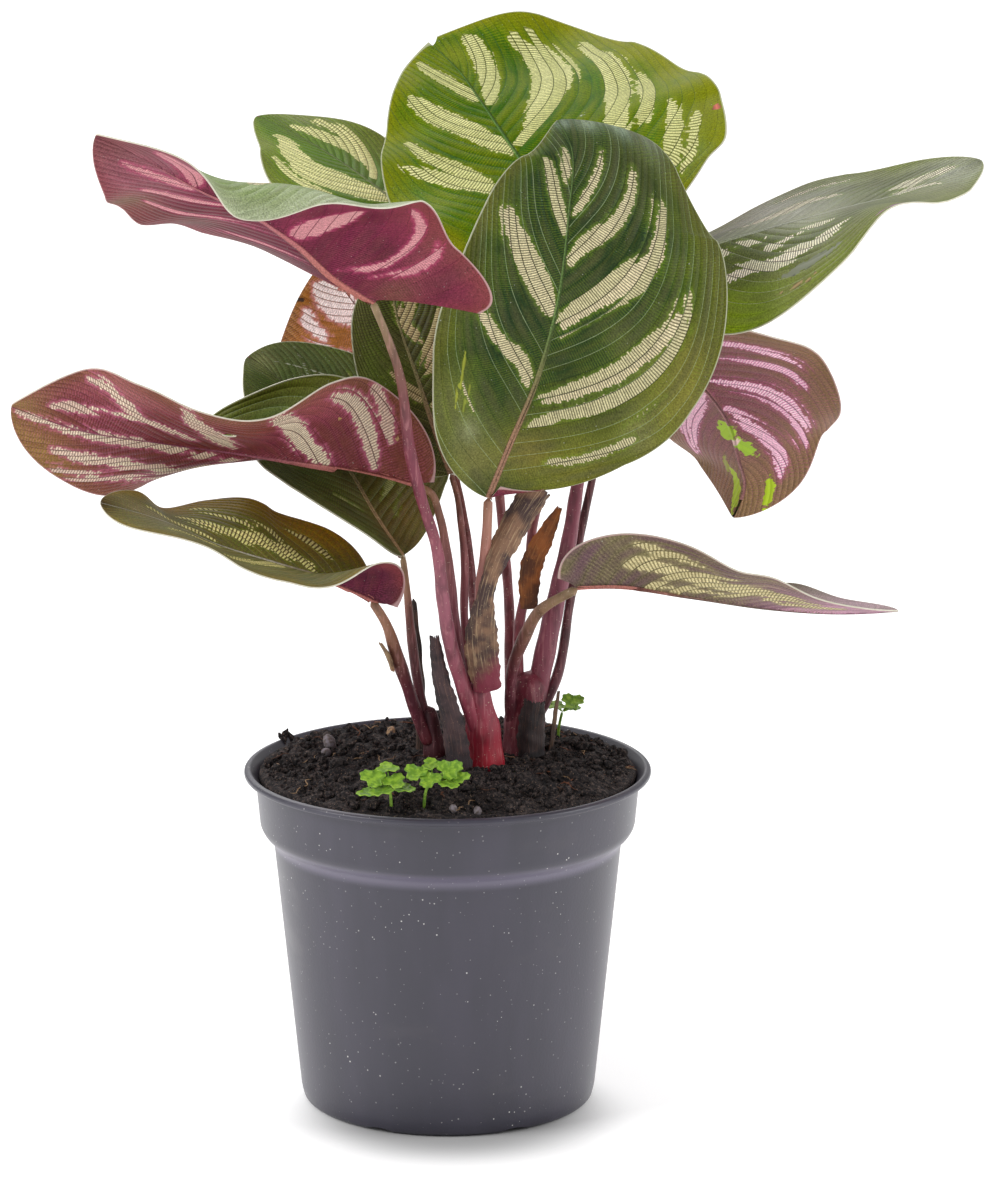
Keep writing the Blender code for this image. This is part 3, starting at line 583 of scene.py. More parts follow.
# %% Windows
WINDOWS = {
    "front": [
        (1.5, 73, 3, 80, 12, 90, 26), (2.1, 61, 3, 66, 11, 70, 23, 76, 35, 87, 49),
        (3.7, 45, 3, 52, 16, 57, 31, 63, 49, 68, 56, 82, 64),
        (2.6, 27, 5, 32, 25, 38, 45, 45, 59, 50, 68, 59, 74), (1.8, 26, 20, 32, 45, 39, 65, 54, 83),
        (0.7, 21, 9, 26, 22), (0.6, 27, 66, 36, 80), (0.6, 13, 39, 16, 63, 24, 79),
        (1.7, 69, -4, 76, -21, 86, -51), (0.9, 81, -6, 90, -19), (3.3, 49, -4, 57, -24, 64, -46, 73, -74),
        (2.2, 30, -6, 36, -20, 39, -41, 44, -60, 50, -74), (0.6, 20, -49, 26, -69),
    ],
    "back_top": [
        (1.8, 72, -2, 83, -24, 92, -75), (4.2, 47, -2, 62, -25, 71, -49, 77, -75),
        (1.9, 40, -30, 48, -46, 55, -65, 63, -78), (3.1, 28, -12, 36, -31, 48, -66, 54, -85),
        (3.4, 69, 4, 88, 25, 97, 52), (5.0, 49, 5, 65, 34, 76, 52, 88, 62), (2.6, 58, 30, 70, 55, 86, 74),
        (4.6, 30, 42, 50, 58, 64, 73, 78, 86), (2.7, 32, 60, 45, 69, 60, 79), (2.4, 16, 66, 30, 73, 43, 78),
        (1.5, 10, 79, 20, 80, 30, 87),
    ],
    "left_back": [
        (5.6, 38, -4, 52, -28, 65, -46, 86, -40), (1.6, 47, -51, 57, -68, 72, -80),
        (2.6, 52, 12, 62, 32, 72, 38, 80, 30, 90, 24), (2.8, 56, 22, 67, 42, 76, 60, 86, 74),
        (2.0, 30, 16, 45, 44, 58, 69),
    ],
    "upper_left": [
        (1.6, 17, -9, 13, -39, 17, -66, 23, -84, 30, -85), (1.1, 10, -22, 10, -55, 13, -79, 20, -93),
        (4.6, 36, -9, 34, -33, 34, -56), (3.0, 48, -3, 56, -34, 65, -50), (2.0, 71, -4, 82, -41, 87, -63),
        (1.2, 20, 15, 30, 45, 39, 74), (1.1, 38, 12, 48, 34, 60, 54, 70, 64), (1.4, 56, 6, 68, 30, 78, 50),
        (1.5, 70, 5, 80, 15, 91, 30),
    ],
    "left_middle": [
        (2.8, 10, -12, 14, -45, 19, -68, 28, -84), (0.9, 9, -50, 13, -79, 17, -95),
        (3.6, 21, -3, 31, -32, 42, -98), (3.0, 45, -10, 55, -55, 61, -97), (1.8, 69, -44, 76, -70, 83, -86),
        (1.3, 55, -18, 64, -36, 76, -38, 90, -36), (1.7, 40, 16, 60, 7, 75, 6, 90, 8, 98, 12),
        (2.5, 42, 26, 57, 42, 71, 43, 88, 52), (1.7, 55, 66, 73, 71, 88, 86), (2.0, 20, 10, 30, 40, 42, 70),
    ],
    "left_lower": [
        (3.4, 20, 14, 30, 26, 42, 31, 53, 36, 67, 62), (1.0, 30, 51, 47, 60, 62, 83),
        (0.7, 15, 44, 21, 60, 28, 68), (1.4, 58, 8, 70, 25, 82, 45), (2.0, 35, -10, 48, -34, 60, -61),
        (1.6, 58, -9, 70, -30, 80, -50),
    ],
    "dark_left": [
        (0.6, 20, -28, 29, -54), (0.5, 16, 24, 27, 44), (0.5, 20, 18, 30, 34), (1.2, 47, 10, 61, 41, 73, 65),
    ],
    "middle": [
        (1.4, 54, 22, 67, 10, 78, 5), (2.0, 24, 5, 40, 30, 52, 50), (2.2, 46, 10, 58, 34, 70, 52),
        (1.4, 68, 8, 80, 25, 88, 38), (1.2, 35, -9, 50, -36),
    ],
    "rust": [
        (4.2, 66, 8, 82, 16, 94, 30), (2.0, 66, 38, 76, 48, 88, 62), (2.4, 35, 11, 50, 30, 60, 45),
        (2.4, 40, -15, 55, -40, 68, -60),
    ],
    "right": [
        (2.6, 14, 38, 26, 40, 40, 48, 54, 52), (1.3, 34, 28, 42, 24, 52, 28), (0.9, 6, 6, 20, 10, 40, 12),
        (1.6, 74, 2, 82, 3, 86, 25), (1.8, 30, -55, 42, -45, 55, -50, 66, -42),
        (1.6, 50, -86, 60, -80, 74, -80), (1.5, 74, -24, 86, -20, 94, -26),
    ],
    "right_pink": [
        (1.6, 18, 54, 29, 69, 47, 82), (1.2, 24, 34, 36, 59, 52, 72), (2.6, 35, 5, 45, 34, 55, 54, 73, 76),
        (2.4, 50, 3, 61, 19, 71, 37, 87, 58), (1.1, 64, 54, 72, 66, 80, 78), (2.6, 40, -4, 54, -38, 70, -65),
        (1.5, 47, -22, 67, -51, 80, -72),
    ],
    "right_lower": [
        (3.6, 15, 46, 26, 44, 40, 44, 56, 48, 74, 56), (1.2, 17, 84, 29, 70, 45, 74),
        (1.5, 20, 8, 37, 16, 52, 34), (1.6, 58, 26, 68, 34, 82, 60), (1.8, 30, -10, 45, -40, 58, -62),
    ],
}
VEINS = 26  # side veins that leave each half of the rib
VEIN_TURN = 0.13  # the share of the rib over which a side vein turns towards the tip
FAR_OUTSIDE = -6.0


def flat_place(blade, along, across):
    """Millimetres along the rib and out from it on the flattened blade, and the rib's length."""
    rib = spans_of(blade.rib).sum()
    back = np.where(across > 0, even(blade.right_back, along), even(blade.left_back, along))
    out = across * width_at(blade, along, across)
    return np.stack([rib * along - back * np.abs(across) ** 1.5, out], -1), rib


def spot(blade, along, across):
    """The flat place of a mark that is given in per cent."""
    return flat_place(blade, np.array([along / 100]), np.array([across / 100]))[0]


def vein_start(blade, along, across):
    """The share along the rib at which the side vein through this place leaves the rib.

    A side vein leaves the rib steeply, then bends to run with the margin: it is 1.02 - 1.05 times its start
    away from the rib at most. The start is found by halving.
    """
    out = np.abs(across) * (width_at(blade, along, across) / np.where(across > 0, *blade.width[::-1]))
    low, high = np.full_like(along, -0.6), along.copy()
    for _ in range(30):
        middle = (low + high) / 2
        reached = (1.02 - 1.05 * middle) * (1 - np.exp(-(((along - middle) / VEIN_TURN) ** 1.2)))
        low, high = np.where(reached > out, middle, low), np.where(reached > out, high, middle)
    return (low + high) / 2


def depth_in_windows(name, blade, flat):
    """How many millimetres inside a window each place is, negative outside."""
    depth = np.full(len(flat), FAR_OUTSIDE)
    way = np.linspace(0, 1, 50)
    for widest, *line in WINDOWS[name]:
        middle = evenly(np.reshape(line, (-1, 2)) / 100, way)
        centres, _ = flat_place(blade, middle[:, 0], middle[:, 1])
        reach = widest * (4 * way * (1 - way)) ** 0.4
        gaps = np.linalg.norm(flat[:, None, :] - centres[None], axis=2)
        depth = np.maximum(depth, (reach[None] - gaps).max(axis=1))
    return depth


# %% [markdown]
# ## Colours of each blade
# Every leaf on this plant differs. Some show their green upper face and some the wine-red underside, and
# the ones against the light glow yellow. Each face gets a ground colour, a few soft tints placed on the
# flattened blade, and its own window, vein and margin colours. A few pale tints are a painted sheen, where a
# blade turns away at a low angle or rolls over at its tip.

# %% Leaf colours


@dataclass
class Face:
    """The colours of one face, with its tints, a few of them painted sheen, and patches placed in per cent
    like the windows.

    A tint is (along, across, reach in mm, colour, strength in per cent). A patch has an edge, and is (along,
    across, half length, half width, degrees from the rib towards the margin, colour).
    """

    ground: tuple
    deep: tuple
    margin: tuple
    window: tuple
    hatch: tuple
    vein: tuple
    rib: tuple
    tints: list = field(default_factory=list)
    patches: list = field(default_factory=list)
    rib_foot: tuple = (150, 115, 90)
    halo: tuple = (120, 150, 40)
    edge: float = 0.12  # softness of a window's edge in mm
    ragged: float = 0.8
    hatching: float = 0.85
    ground_hatch: float = 0.25
    rough: float = 0.42
    bronze: tuple = (92, 84, 58)
    bronze_share: float = 0.3
    glow: float = 0.3
    gloss: float = 0.1
    pitch: float = 0.7  # millimetres from one fine line to the next
    rim: tuple = (196, 198, 170)


GREEN = Face((62, 74, 26), (26, 50, 26), (98, 96, 34), (232, 218, 180), (66, 60, 24), (150, 164, 124),
             (86, 100, 46))
WINE = Face((122, 44, 68), (92, 28, 50), (128, 66, 62), (226, 180, 178), (140, 60, 84), (84, 24, 46),
            (190, 120, 124), rib_foot=(190, 120, 110), halo=(186, 70, 112), edge=0.4, hatching=0.4, rough=0.5,
            bronze=(96, 60, 58), glow=0.5, rim=(206, 170, 168))


def like(face, **changes):
    return Face(**{**face.__dict__, **changes})


FACES = {
    "front": (like(
        GREEN, ground=(60, 84, 24), deep=(20, 46, 28), rib=(104, 132, 72), rib_foot=(168, 124, 104),
        bronze_share=0.5, bronze=(84, 84, 56), ragged=0.7,
        tints=[(13, 60, 22, (122, 118, 40), 85), (38, 92, 14, (144, 134, 62), 80),
            (46, 40, 7, (96, 100, 58), 60), (30, 90, 9, (124, 122, 54), 60),
            (88, 55, 13, (80, 80, 34), 60), (20, -82, 10, (122, 126, 64), 75),
            (9, -45, 10, (134, 130, 76), 80), (16, -53, 3.5, (160, 164, 122), 70),
            (25, 80, 5, (150, 148, 100), 50), (14, 12, 8, (140, 124, 58), 70),
            # painted sheen: the four pale grey-green tints on the next two lines, where the tip rolls back
            (98.5, 5, 3, (150, 166, 156), 90), (97, 35, 4, (150, 164, 148), 90),
            (95.5, 70, 4.5, (140, 156, 136), 90), (94, 98, 5, (150, 160, 144), 80)],
        patches=[(28, -70, 9, 0.55, 8, (160, 166, 64)), (22, -62, 5, 0.45, 4, (140, 150, 60))]), WINE),
    "back_top": (like(
        GREEN, ground=(66, 110, 8), deep=(42, 90, 8), margin=(140, 138, 16), window=(234, 232, 168),
        pitch=0.9, hatch=(92, 98, 14), vein=(52, 84, 50), rib=(96, 134, 66), rib_foot=(92, 126, 56),
        halo=(136, 146, 20), ground_hatch=0.5, ragged=0.9, bronze=(116, 126, 12), bronze_share=0.5,
        gloss=0.03,
        tints=[(84, -88, 9, (108, 118, 26), 70), (60, -90, 9, (80, 106, 40), 80),
            (40, -88, 9, (104, 136, 80), 60), (93, 10, 8, (150, 156, 50), 70),
            # painted sheen: the first tint on the next line, by the right margin
            (50, 100, 8, (160, 168, 120), 50), (28, 92, 9, (130, 128, 24), 70),
            (12, 90, 8, (140, 150, 100), 50)],
        patches=[(28, 97, 1.4, 1.0, 0, (214, 120, 100)), (50, 38, 0.8, 0.8, 0, (200, 210, 190))]), WINE),
    "left_back": (like(
        GREEN, ground=(104, 136, 28), deep=(80, 118, 24), margin=(128, 138, 60),
        window=(255, 250, 184), hatch=(120, 124, 40), vein=(60, 84, 40), rib=(130, 142, 92),
        gloss=0.05, pitch=0.85, hatching=0.7,
        # painted sheen: the first two tints, pale grey-green on the right half, which is seen at a low angle
        tints=[(88, 75, 12, (156, 160, 112), 70), (60, 80, 10, (150, 154, 110), 60),
            (84, -92, 8, (150, 156, 84), 60)]), WINE),
    "upper_left": (like(
        GREEN, ground=(142, 160, 104), deep=(130, 150, 92), margin=(184, 192, 160),
        vein=(170, 184, 146)), like(
        WINE, window=(216, 160, 160), hatch=(150, 64, 88), hatching=0.5,
        tints=[(95, 0, 14, (112, 84, 62), 70), (2, -30, 9, (112, 84, 58), 80),
            (75, 88, 13, (112, 98, 62), 85), (45, -20, 14, (136, 52, 84), 50),
            (50, 62, 15, (92, 64, 48), 85), (22, 85, 14, (86, 62, 46), 85),
            (82, 15, 16, (190, 130, 142), 60)])),
    "left_middle": (like(
        GREEN, ground=(104, 120, 60)), like(
        WINE, ground=(128, 58, 68), deep=(104, 40, 50), margin=(128, 88, 56), window=(226, 214, 186),
        hatch=(124, 78, 72), vein=(74, 26, 42), rib=(150, 84, 104), halo=(196, 104, 136),
        hatching=0.75, bronze=(104, 58, 40), bronze_share=0.45, glow=0.5, pitch=0.8, edge=0.25,
        ragged=1.1,
        tints=[(5, -30, 12, (120, 70, 40), 60), (91, 91, 15, (144, 122, 52), 85),
            (97, -30, 9, (150, 132, 66), 80), (44, -60, 7, (116, 56, 34), 90),
            (30, -80, 6, (150, 70, 80), 60), (60, 60, 12, (106, 70, 44), 50),
            (75, -85, 9, (170, 110, 112), 60)],
        patches=[(23, -53, 0.9, 0.7, 0, (196, 160, 100)), (8, -58, 0.7, 0.5, 0, (196, 160, 110))])),
    "left_lower": (like(
        GREEN, ground=(118, 116, 52), deep=(86, 86, 38), margin=(170, 136, 36),
        window=(255, 248, 166), hatch=(88, 78, 30), vein=(160, 156, 110), rib=(216, 216, 198),
        rib_foot=(150, 130, 100), hatching=0.95, pitch=1.2, rim=(214, 210, 194),
        tints=[(18, 85, 12, (190, 152, 36), 90), (45, 100, 8, (160, 132, 40), 70),
            (60, -70, 20, (112, 120, 86), 90), (30, -60, 14, (112, 118, 84), 90),
            (82, -20, 14, (132, 134, 110), 80), (88, 30, 9, (150, 142, 118), 60),
            (100, 0, 6, (56, 42, 40), 90)]), like(
        WINE, ground=(98, 44, 62), deep=(78, 32, 50))),
    "dark_left": (like(
        GREEN, ground=(74, 88, 40), deep=(54, 70, 34), margin=(86, 94, 44), vein=(112, 126, 84),
        rib=(110, 112, 74), rib_foot=(176, 142, 104), window=(150, 146, 96), hatching=0.6,
        tints=[(15, 30, 20, (106, 68, 22), 90), (28, -30, 15, (70, 54, 26), 70),
            (85, 70, 14, (94, 108, 66), 60), (95, 5, 6, (140, 142, 96), 80)],
        patches=[(81, 44, 9, 0.22, -38, (160, 164, 140)), (86, 53, 7, 0.2, 24, (150, 156, 130)),
            (70, 60, 6, 0.2, 60, (140, 146, 118)), (76, 30, 5, 0.2, -10, (140, 148, 120))]), WINE),
    "middle": (like(
        GREEN, ground=(66, 58, 26), deep=(48, 44, 22), margin=(86, 84, 38), window=(200, 176, 136),
        hatch=(84, 66, 36), vein=(110, 102, 66), rib=(140, 130, 90),
        tints=[(50, -60, 12, (82, 96, 34), 90)]), WINE),
    "rust": (like(
        GREEN, ground=(96, 110, 50)), like(
        WINE, ground=(166, 108, 40), deep=(150, 94, 34), margin=(158, 116, 60),
        window=(252, 246, 242), hatch=(206, 140, 130), vein=(120, 70, 40), rib=(150, 90, 60),
        halo=(226, 150, 160), bronze=(150, 90, 40),
        patches=[(95, 97, 3.5, 0.5, 40, (74, 54, 44))])),
    "right": (like(
        GREEN, ground=(104, 110, 54), deep=(66, 72, 44), margin=(118, 128, 52), rib=(196, 198, 180),
        rib_foot=(150, 160, 120), vein=(164, 166, 138), window=(255, 246, 222), bronze=(112, 108, 80),
        # painted sheen: the pale grey tints at 50, -60 and at 92, 0, on the whitish left half and by the tip
        tints=[(50, -60, 27, (196, 196, 186), 85), (18, 90, 13, (146, 180, 22), 95),
            (80, 40, 14, (146, 148, 110), 70), (92, 0, 12, (196, 196, 184), 80),
            (50, 5, 8, (172, 170, 152), 60)],
        patches=[(36, 84, 7, 0.5, 20, (172, 150, 104)), (63, 98, 9, 1.0, 0, (160, 116, 150)),
            (40, 70, 8, 1.6, 15, (128, 132, 112))]), WINE),
    "right_pink": (like(
        GREEN, ground=(96, 130, 50)), like(
        WINE, ground=(140, 98, 92), deep=(128, 80, 86), margin=(128, 104, 62),
        window=(255, 220, 230), hatch=(202, 104, 156), vein=(116, 62, 80), rib=(160, 110, 110),
        halo=(186, 86, 134), hatching=0.8, glow=0.4, bronze=(120, 92, 60), bronze_share=0.5,
        pitch=0.85, edge=0.2,
        tints=[(70, 80, 14, (132, 106, 66), 80), (90, 0, 17, (134, 116, 60), 90),
            (35, -60, 12, (136, 96, 80), 60)],
        patches=[(62, -6, 5.5, 3.0, 10, (168, 200, 60)), (70, 9, 6, 2.0, 24, (160, 194, 60)),
            (90, -15, 8, 1.6, -12, (170, 190, 60)), (91, 54, 5, 1.6, 10, (170, 196, 40)),
            (66.5, 2, 2.0, 1.4, 20, (232, 196, 190)), (80, -25, 6, 0.9, 10, (150, 150, 70))])),
    "right_lower": (like(
        GREEN, ground=(106, 110, 76), deep=(100, 104, 76), margin=(120, 112, 96),
        tints=[(92, 0, 34, (226, 194, 208), 95)]), like(
        WINE, ground=(122, 116, 78), deep=(96, 82, 68), margin=(122, 112, 80),
        window=(226, 214, 164), hatch=(122, 108, 66), vein=(74, 66, 50), rib=(156, 130, 116),
        halo=(154, 144, 102), hatching=0.8, bronze=(110, 80, 92), bronze_share=0.75,
        ground_hatch=0.5, pitch=1.1, edge=0.3, ragged=0.9,
        tints=[(6, 80, 9, (84, 60, 70), 70), (88, 50, 27, (212, 146, 180), 100),
            (40, 95, 9, (120, 86, 100), 50), (30, 2, 9, (150, 130, 124), 50),
            (82, -50, 25, (216, 160, 188), 100), (60, -70, 12, (180, 144, 156), 70)],
        patches=[(77, -97, 8, 1.2, 0, (96, 120, 56))])),
}


def tinted(face, blade, flat):
    """The face's ground colour at each place, with its soft tints over it, painted sheen among them. Its
    alpha is their strength.
    """
    ground = np.tile((*colour(*face.ground)[:3], 0.0), (len(flat), 1))
    for along, across, reach, tint, strength in face.tints:
        gap = np.linalg.norm(flat - spot(blade, along, across), axis=1)
        share = strength / 100 * np.exp(-((gap / reach) ** 2))
        ground += share[:, None] * (np.array(colour(*tint)) - ground)
    return ground


def patched(face, blade, flat):
    """The colour of the nearest patch at each place, with 0.5 as its alpha on the patch's edge."""
    found = np.zeros((len(flat), 4))
    for along, across, length, width, turn, tint in face.patches:
        x, y = (flat - spot(blade, along, across)).T * np.array([[1], [np.sign(across) or 1]])
        ahead, aside = cos(radians(turn)), sin(radians(turn))
        forward, sideways = x * ahead + y * aside, y * ahead - x * aside
        share = np.clip(1.5 - np.hypot(forward / length, sideways / width), 0, 1)
        nearer = share > found[:, 3]
        found[nearer] = (*colour(*tint)[:3], 0)
        found[nearer, 3] = share[nearer]
    return found


# %% [markdown]
# ## The finish of a blade
# Close up, a window is a strip of pale skin between two thin veins, crossed by many fine dark lines, and
# each little cell ends a bit further or nearer, so the edge looks torn. The group below draws that: the
# side veins are numbered, the cells along them are counted, and both numbers choose how far the cell
# reaches. The same group serves both faces with softer edges underneath.

# %% Leaf finish group
VEIN_HALF = 0.19  # half the width of a side vein in mm
SKIN_COLOURS = ("Ground", "Deep", "Margin", "Window", "Hatch", "Vein", "Window_vein", "Halo", "Rib",
                "Rib_foot", "Patch", "Bronze", "Rim")

given = group(
    "leaf skin", **dict.fromkeys(SKIN_COLOURS, (188, 188, 188)), Edge=0.12, Ragged=1.0, Hatching=0.8,
    Ground_hatch=0.06, Rough=0.42, Patch_share=0.0, Bronze_share=0.3, Glow=0.3, Tint_share=0.0, Pitch=0.7)
lateral, spacing, run, shear, along, out_share, rib_gap = (
    attribute(name) for name in ("lateral", "spacing", "run", "shear", "along", "out", "rib_gap"))
strip, in_strip = math("FLOOR", lateral), math("FRACT", lateral)
quilt = math("SINE", in_strip * pi)
to_vein = math("PINGPONG", lateral, 0.5) * spacing
vein_room = between(spacing, 0.7, 1.8)
vein = between(to_vein, VEIN_HALF * 0.3, VEIN_HALF * 1.2, 1.0, 0.0) * vein_room
vein_chance = chance(vector(math("ROUND", lateral), 9.0, 3.0))

# Fine lines cross each strip at a slight slant. The shear is how much the run changes straight across it
off_middle = in_strip - 0.5
count = math("MULTIPLY_ADD", off_middle, 0.7, (run - shear * off_middle) / given["Pitch"])
cell_chance = chance(vector(strip, math("FLOOR", count), 1.0))
strip_chance = chance(vector(strip, 5.0, 2.0))
line = 1.0 - between(math("PINGPONG", count, 0.5), 0.10, math("MULTIPLY_ADD", cell_chance, 0.14, 0.24))

# A cell belongs to a window if it is deep enough inside, each cell by its own measure
depth = attribute("window") + ((cell_chance - 0.5) * given["Ragged"] + (strip_chance - 0.5) * 2.2)
window = between(depth, given["Edge"] * -1.0, given["Edge"])
halo = between(depth, math("MULTIPLY_ADD", given["Edge"], -1.0, -1.3), 0.0)

# Ground: deep patches near the rib, the margin's colour further out, and a grain along the veins
grain = noise(vector(lateral * 3.0, run * 0.12), 1.0, 3.0)
clouds = noise(object_place(), 0.08)
outward = out_share + (clouds - 0.5) * 0.5
plain = math("SUBTRACT", 1.0, given["Tint share"], use_clamp=True)
skin = mix(between(outward, 0.45, 0.72, 0.85, 0.0) * plain, given["Ground"], given["Deep"])
skin = mix(between(outward, 0.62, 1.02, 0.0, 0.9) * plain, skin, given["Margin"])
skin = mix(between(grain, 0.35, 0.75, 0.0, 0.28), skin, given["Margin"])
skin = mix(line * given["Ground hatch"] * between(clouds, 0.3, 0.6), skin, given["Halo"])
blotches = between(noise(vector(strip * 3.1, run * 0.05), 1.0), 0.38, 0.62)
skin = mix(quilt * given["Bronze share"] * blotches, skin, given["Bronze"])
skin = mix(halo * given["Glow"], skin, given["Halo"])
dark_vein = mix(0.5, given["Deep"], (0, 0, 0, 1))
vein_tone = mix(between(vein_chance, 0.45, 0.5), dark_vein, given["Vein"])
thin_vein = between(to_vein, 0.03, 0.15, 1.0, 0.0) * vein_room
skin = mix(thin_vein * between(vein_chance, 0.0, 1.0, 0.35, 0.7), skin, vein_tone)

# Windows over it, with their lines and veins
pale = mix(strip_chance * 0.25, given["Window"], given["Halo"])
pale = mix(line * given["Hatching"], pale, given["Hatch"])
pale = mix(vein * 0.9, pale, given["Window vein"])
skin = mix(window, skin, pale)

# The midrib, wide at its foot and thin at the tip
rib_half = between(along, 0.0, 1.0, 1.15, 0.2)
rib = 1.0 - between(rib_gap, rib_half * 0.6, rib_half)
skin = mix(rib * 0.85, skin, mix(between(along, 0.12, 0.5), given["Rib foot"], given["Rib"]))

# A fine mottling, pale specks, the thin rim, and the patches with their torn edge
fine = noise(object_place(), 2.2)
skin = mix(1.0, skin, math("MULTIPLY_ADD", fine, 1.7, 0.15), "MULTIPLY")
skin = mix(between(noise(object_place(), 1.7, 1.0), 0.76, 0.80, 0.0, 0.5), skin, colour(210, 214, 200))
skin = mix(between(attribute("margin_gap"), 0.22, 0.48, 0.75, 0.0), skin, given["Rim"])
tear = (noise(object_place(), 0.5, 3.0) - 0.5) * between(given["Patch share"], 0.0, 0.3, 0.0, 2.2)
skin = mix(between(tear + given["Patch share"], 0.40, 0.60), skin, given["Patch"])
leaf_skin = close(
    Colour=skin,
    Roughness=given["Rough"] + (fine - 0.5) * 0.2 + window * 0.06,
    Height=quilt * 0.24 + rib * 0.35 + fine * 0.04 - line * 0.015,
)

# %% Leaf materials


def face_finish(name, face, side):
    """The finish of one face, upper or under. Its ground and patch colours are stored on the blade."""
    stored = {"Ground": (side + "_ground", "Color"), "Tint share": (side + "_ground", "Alpha")}
    if face.patches:
        stored |= {"Patch": (side + "_patch", "Color"), "Patch share": (side + "_patch", "Alpha")}
    own = {label.capitalize(): value for label, value in face.__dict__.items()
           if label not in ("ground", "tints", "patches", "gloss")}
    own["Window_vein"] = tuple(0.5 * hatch + 0.2 * deep for hatch, deep in zip(face.hatch, face.deep))
    return finish_from(name, leaf_skin, {"Specular IOR Level": face.gloss}, stored, **own)


margin_finish = bpy.data.materials.new("leaf margin")
margin_finish.use_nodes = True
tree = margin_finish.node_tree
margin_shader = tree.nodes["Principled BSDF"].inputs
pale_edge = mix(noise(object_place(), 0.35), colour(190, 190, 160), colour(232, 226, 214))
feed(margin_shader["Base Color"], pale_edge)
feed(margin_shader["Roughness"], 0.5)

# %% [markdown]
# ## Making the blades
# A flat grid is bent to the blade's formula, a little above the solid's middle. It then gets its thickness
# on the underside with Solidify, thin over the blade and thick along the midrib, which stands proud below
# as on the real leaf. The numbers that the shader reads are worked out on the flat blade first, so both
# faces carry them.

# %% Blades
BLADE_ROWS, BLADE_COLUMNS = 140, 72
UPPER_LIFT = 0.2
BLADE_THIN, RIB_THICK = 0.42, 1.5
HOLES = {"left_middle": (0.49, -0.50, 0.017, 0.045)}  # its place along and across, and its half sizes
HOLE_REACH = 2  # grid steps from a hole's middle to its rim
NEARBY = 0.002  # the share between two places that a slope is measured over


def blade_shares(flat):
    """Each point's share along the rib and share across, closer together at both ends and by the rib."""
    way = (flat[:, 0] + 1) / 2
    along = np.clip(0.5 * way + 0.5 * (0.5 - 0.5 * np.cos(pi * way)), 0.0006, 0.9994)
    return along, -np.sign(flat[:, 1]) * np.abs(flat[:, 1]) ** 1.25


def blade_grid(name, hole):
    """A flat grid of a blade, with each point's share along and across."""
    sheet, flat = new_grid(name, BLADE_ROWS, BLADE_COLUMNS)
    along, across = blade_shares(flat)
    if not hole:
        return sheet, along, across
    centre = np.argmin(np.hypot((along - hole[0]) / hole[2], (across - hole[1]) / hole[3]))
    steps = np.abs((flat - flat[centre])[:, :2] * (BLADE_ROWS / 2, BLADE_COLUMNS / 2)).max(axis=1).round()
    inside = [all(steps[v] <= HOLE_REACH for v in face.vertices) for face in sheet.data.polygons]
    pick(sheet.data.polygons, "FACE", inside)
    with edit_mode():
        bpy.ops.mesh.delete(type="FACE")
    along, across = blade_shares(places_of(sheet) * MM)
    rim = steps[steps >= HOLE_REACH] == HOLE_REACH
    turn = np.arctan2((across[rim] - hole[1]) / hole[3], (along[rim] - hole[0]) / hole[2])
    along[rim], across[rim] = hole[0] + hole[2] * np.cos(turn), hole[1] + hole[3] * np.sin(turn)
    return sheet, along, across


def write_marks(sheet, name, blade, along, across):
    """Stores the numbers of the veins, windows and rib that the leaf finish reads."""
    flat, rib = flat_place(blade, along, across)
    further, nearer = np.clip(along + NEARBY, 0, 0.9999), across * (1 - NEARBY)
    ahead = flat_place(blade, further, across)[0] - flat
    inwards = flat_place(blade, along, nearer)[0] - flat
    area = ahead[:, 0] * inwards[:, 1] - ahead[:, 1] * inwards[:, 0]
    area = np.where(np.abs(area) < 1e-9, 1e-9, area)
    starts = [vein_start(blade, a, b) for a, b in ((along, across), (further, across), (along, nearer))]
    runs = [np.hypot(place[:, 0] - rib * start, place[:, 1])
            for place, start in zip((flat, flat + ahead, flat + inwards), starts)]
    slopes = []
    for here, beyond, inside in (starts, runs):
        grow, shrink = beyond - here, inside - here
        slopes.append(np.stack([grow * inwards[:, 1] - shrink * ahead[:, 1],
                                shrink * ahead[:, 0] - grow * inwards[:, 0]], -1) / area[:, None])
    steep = np.maximum(np.linalg.norm(slopes[0], axis=1), 1e-5)
    spacing = np.clip(1 / (VEINS * steep), 0, 12)
    set_values(
        sheet, lateral=starts[0] * VEINS + np.where(across > 0, 100.0, 60.0), spacing=spacing, run=runs[0],
        shear=spacing * (slopes[0] * slopes[1]).sum(axis=1) / steep, along=along, out=np.abs(across),
        rib_gap=np.abs(flat[:, 1]), margin_gap=(1 - np.abs(across)) * width_at(blade, along, across),
        window=depth_in_windows(name, blade, flat))
    for side, face in zip(("upper", "under"), FACES[name]):
        set_values(sheet, **{side + "_ground": tinted(face, blade, flat)})
        if face.patches:
            set_values(sheet, **{side + "_patch": patched(face, blade, flat)})
    return flat


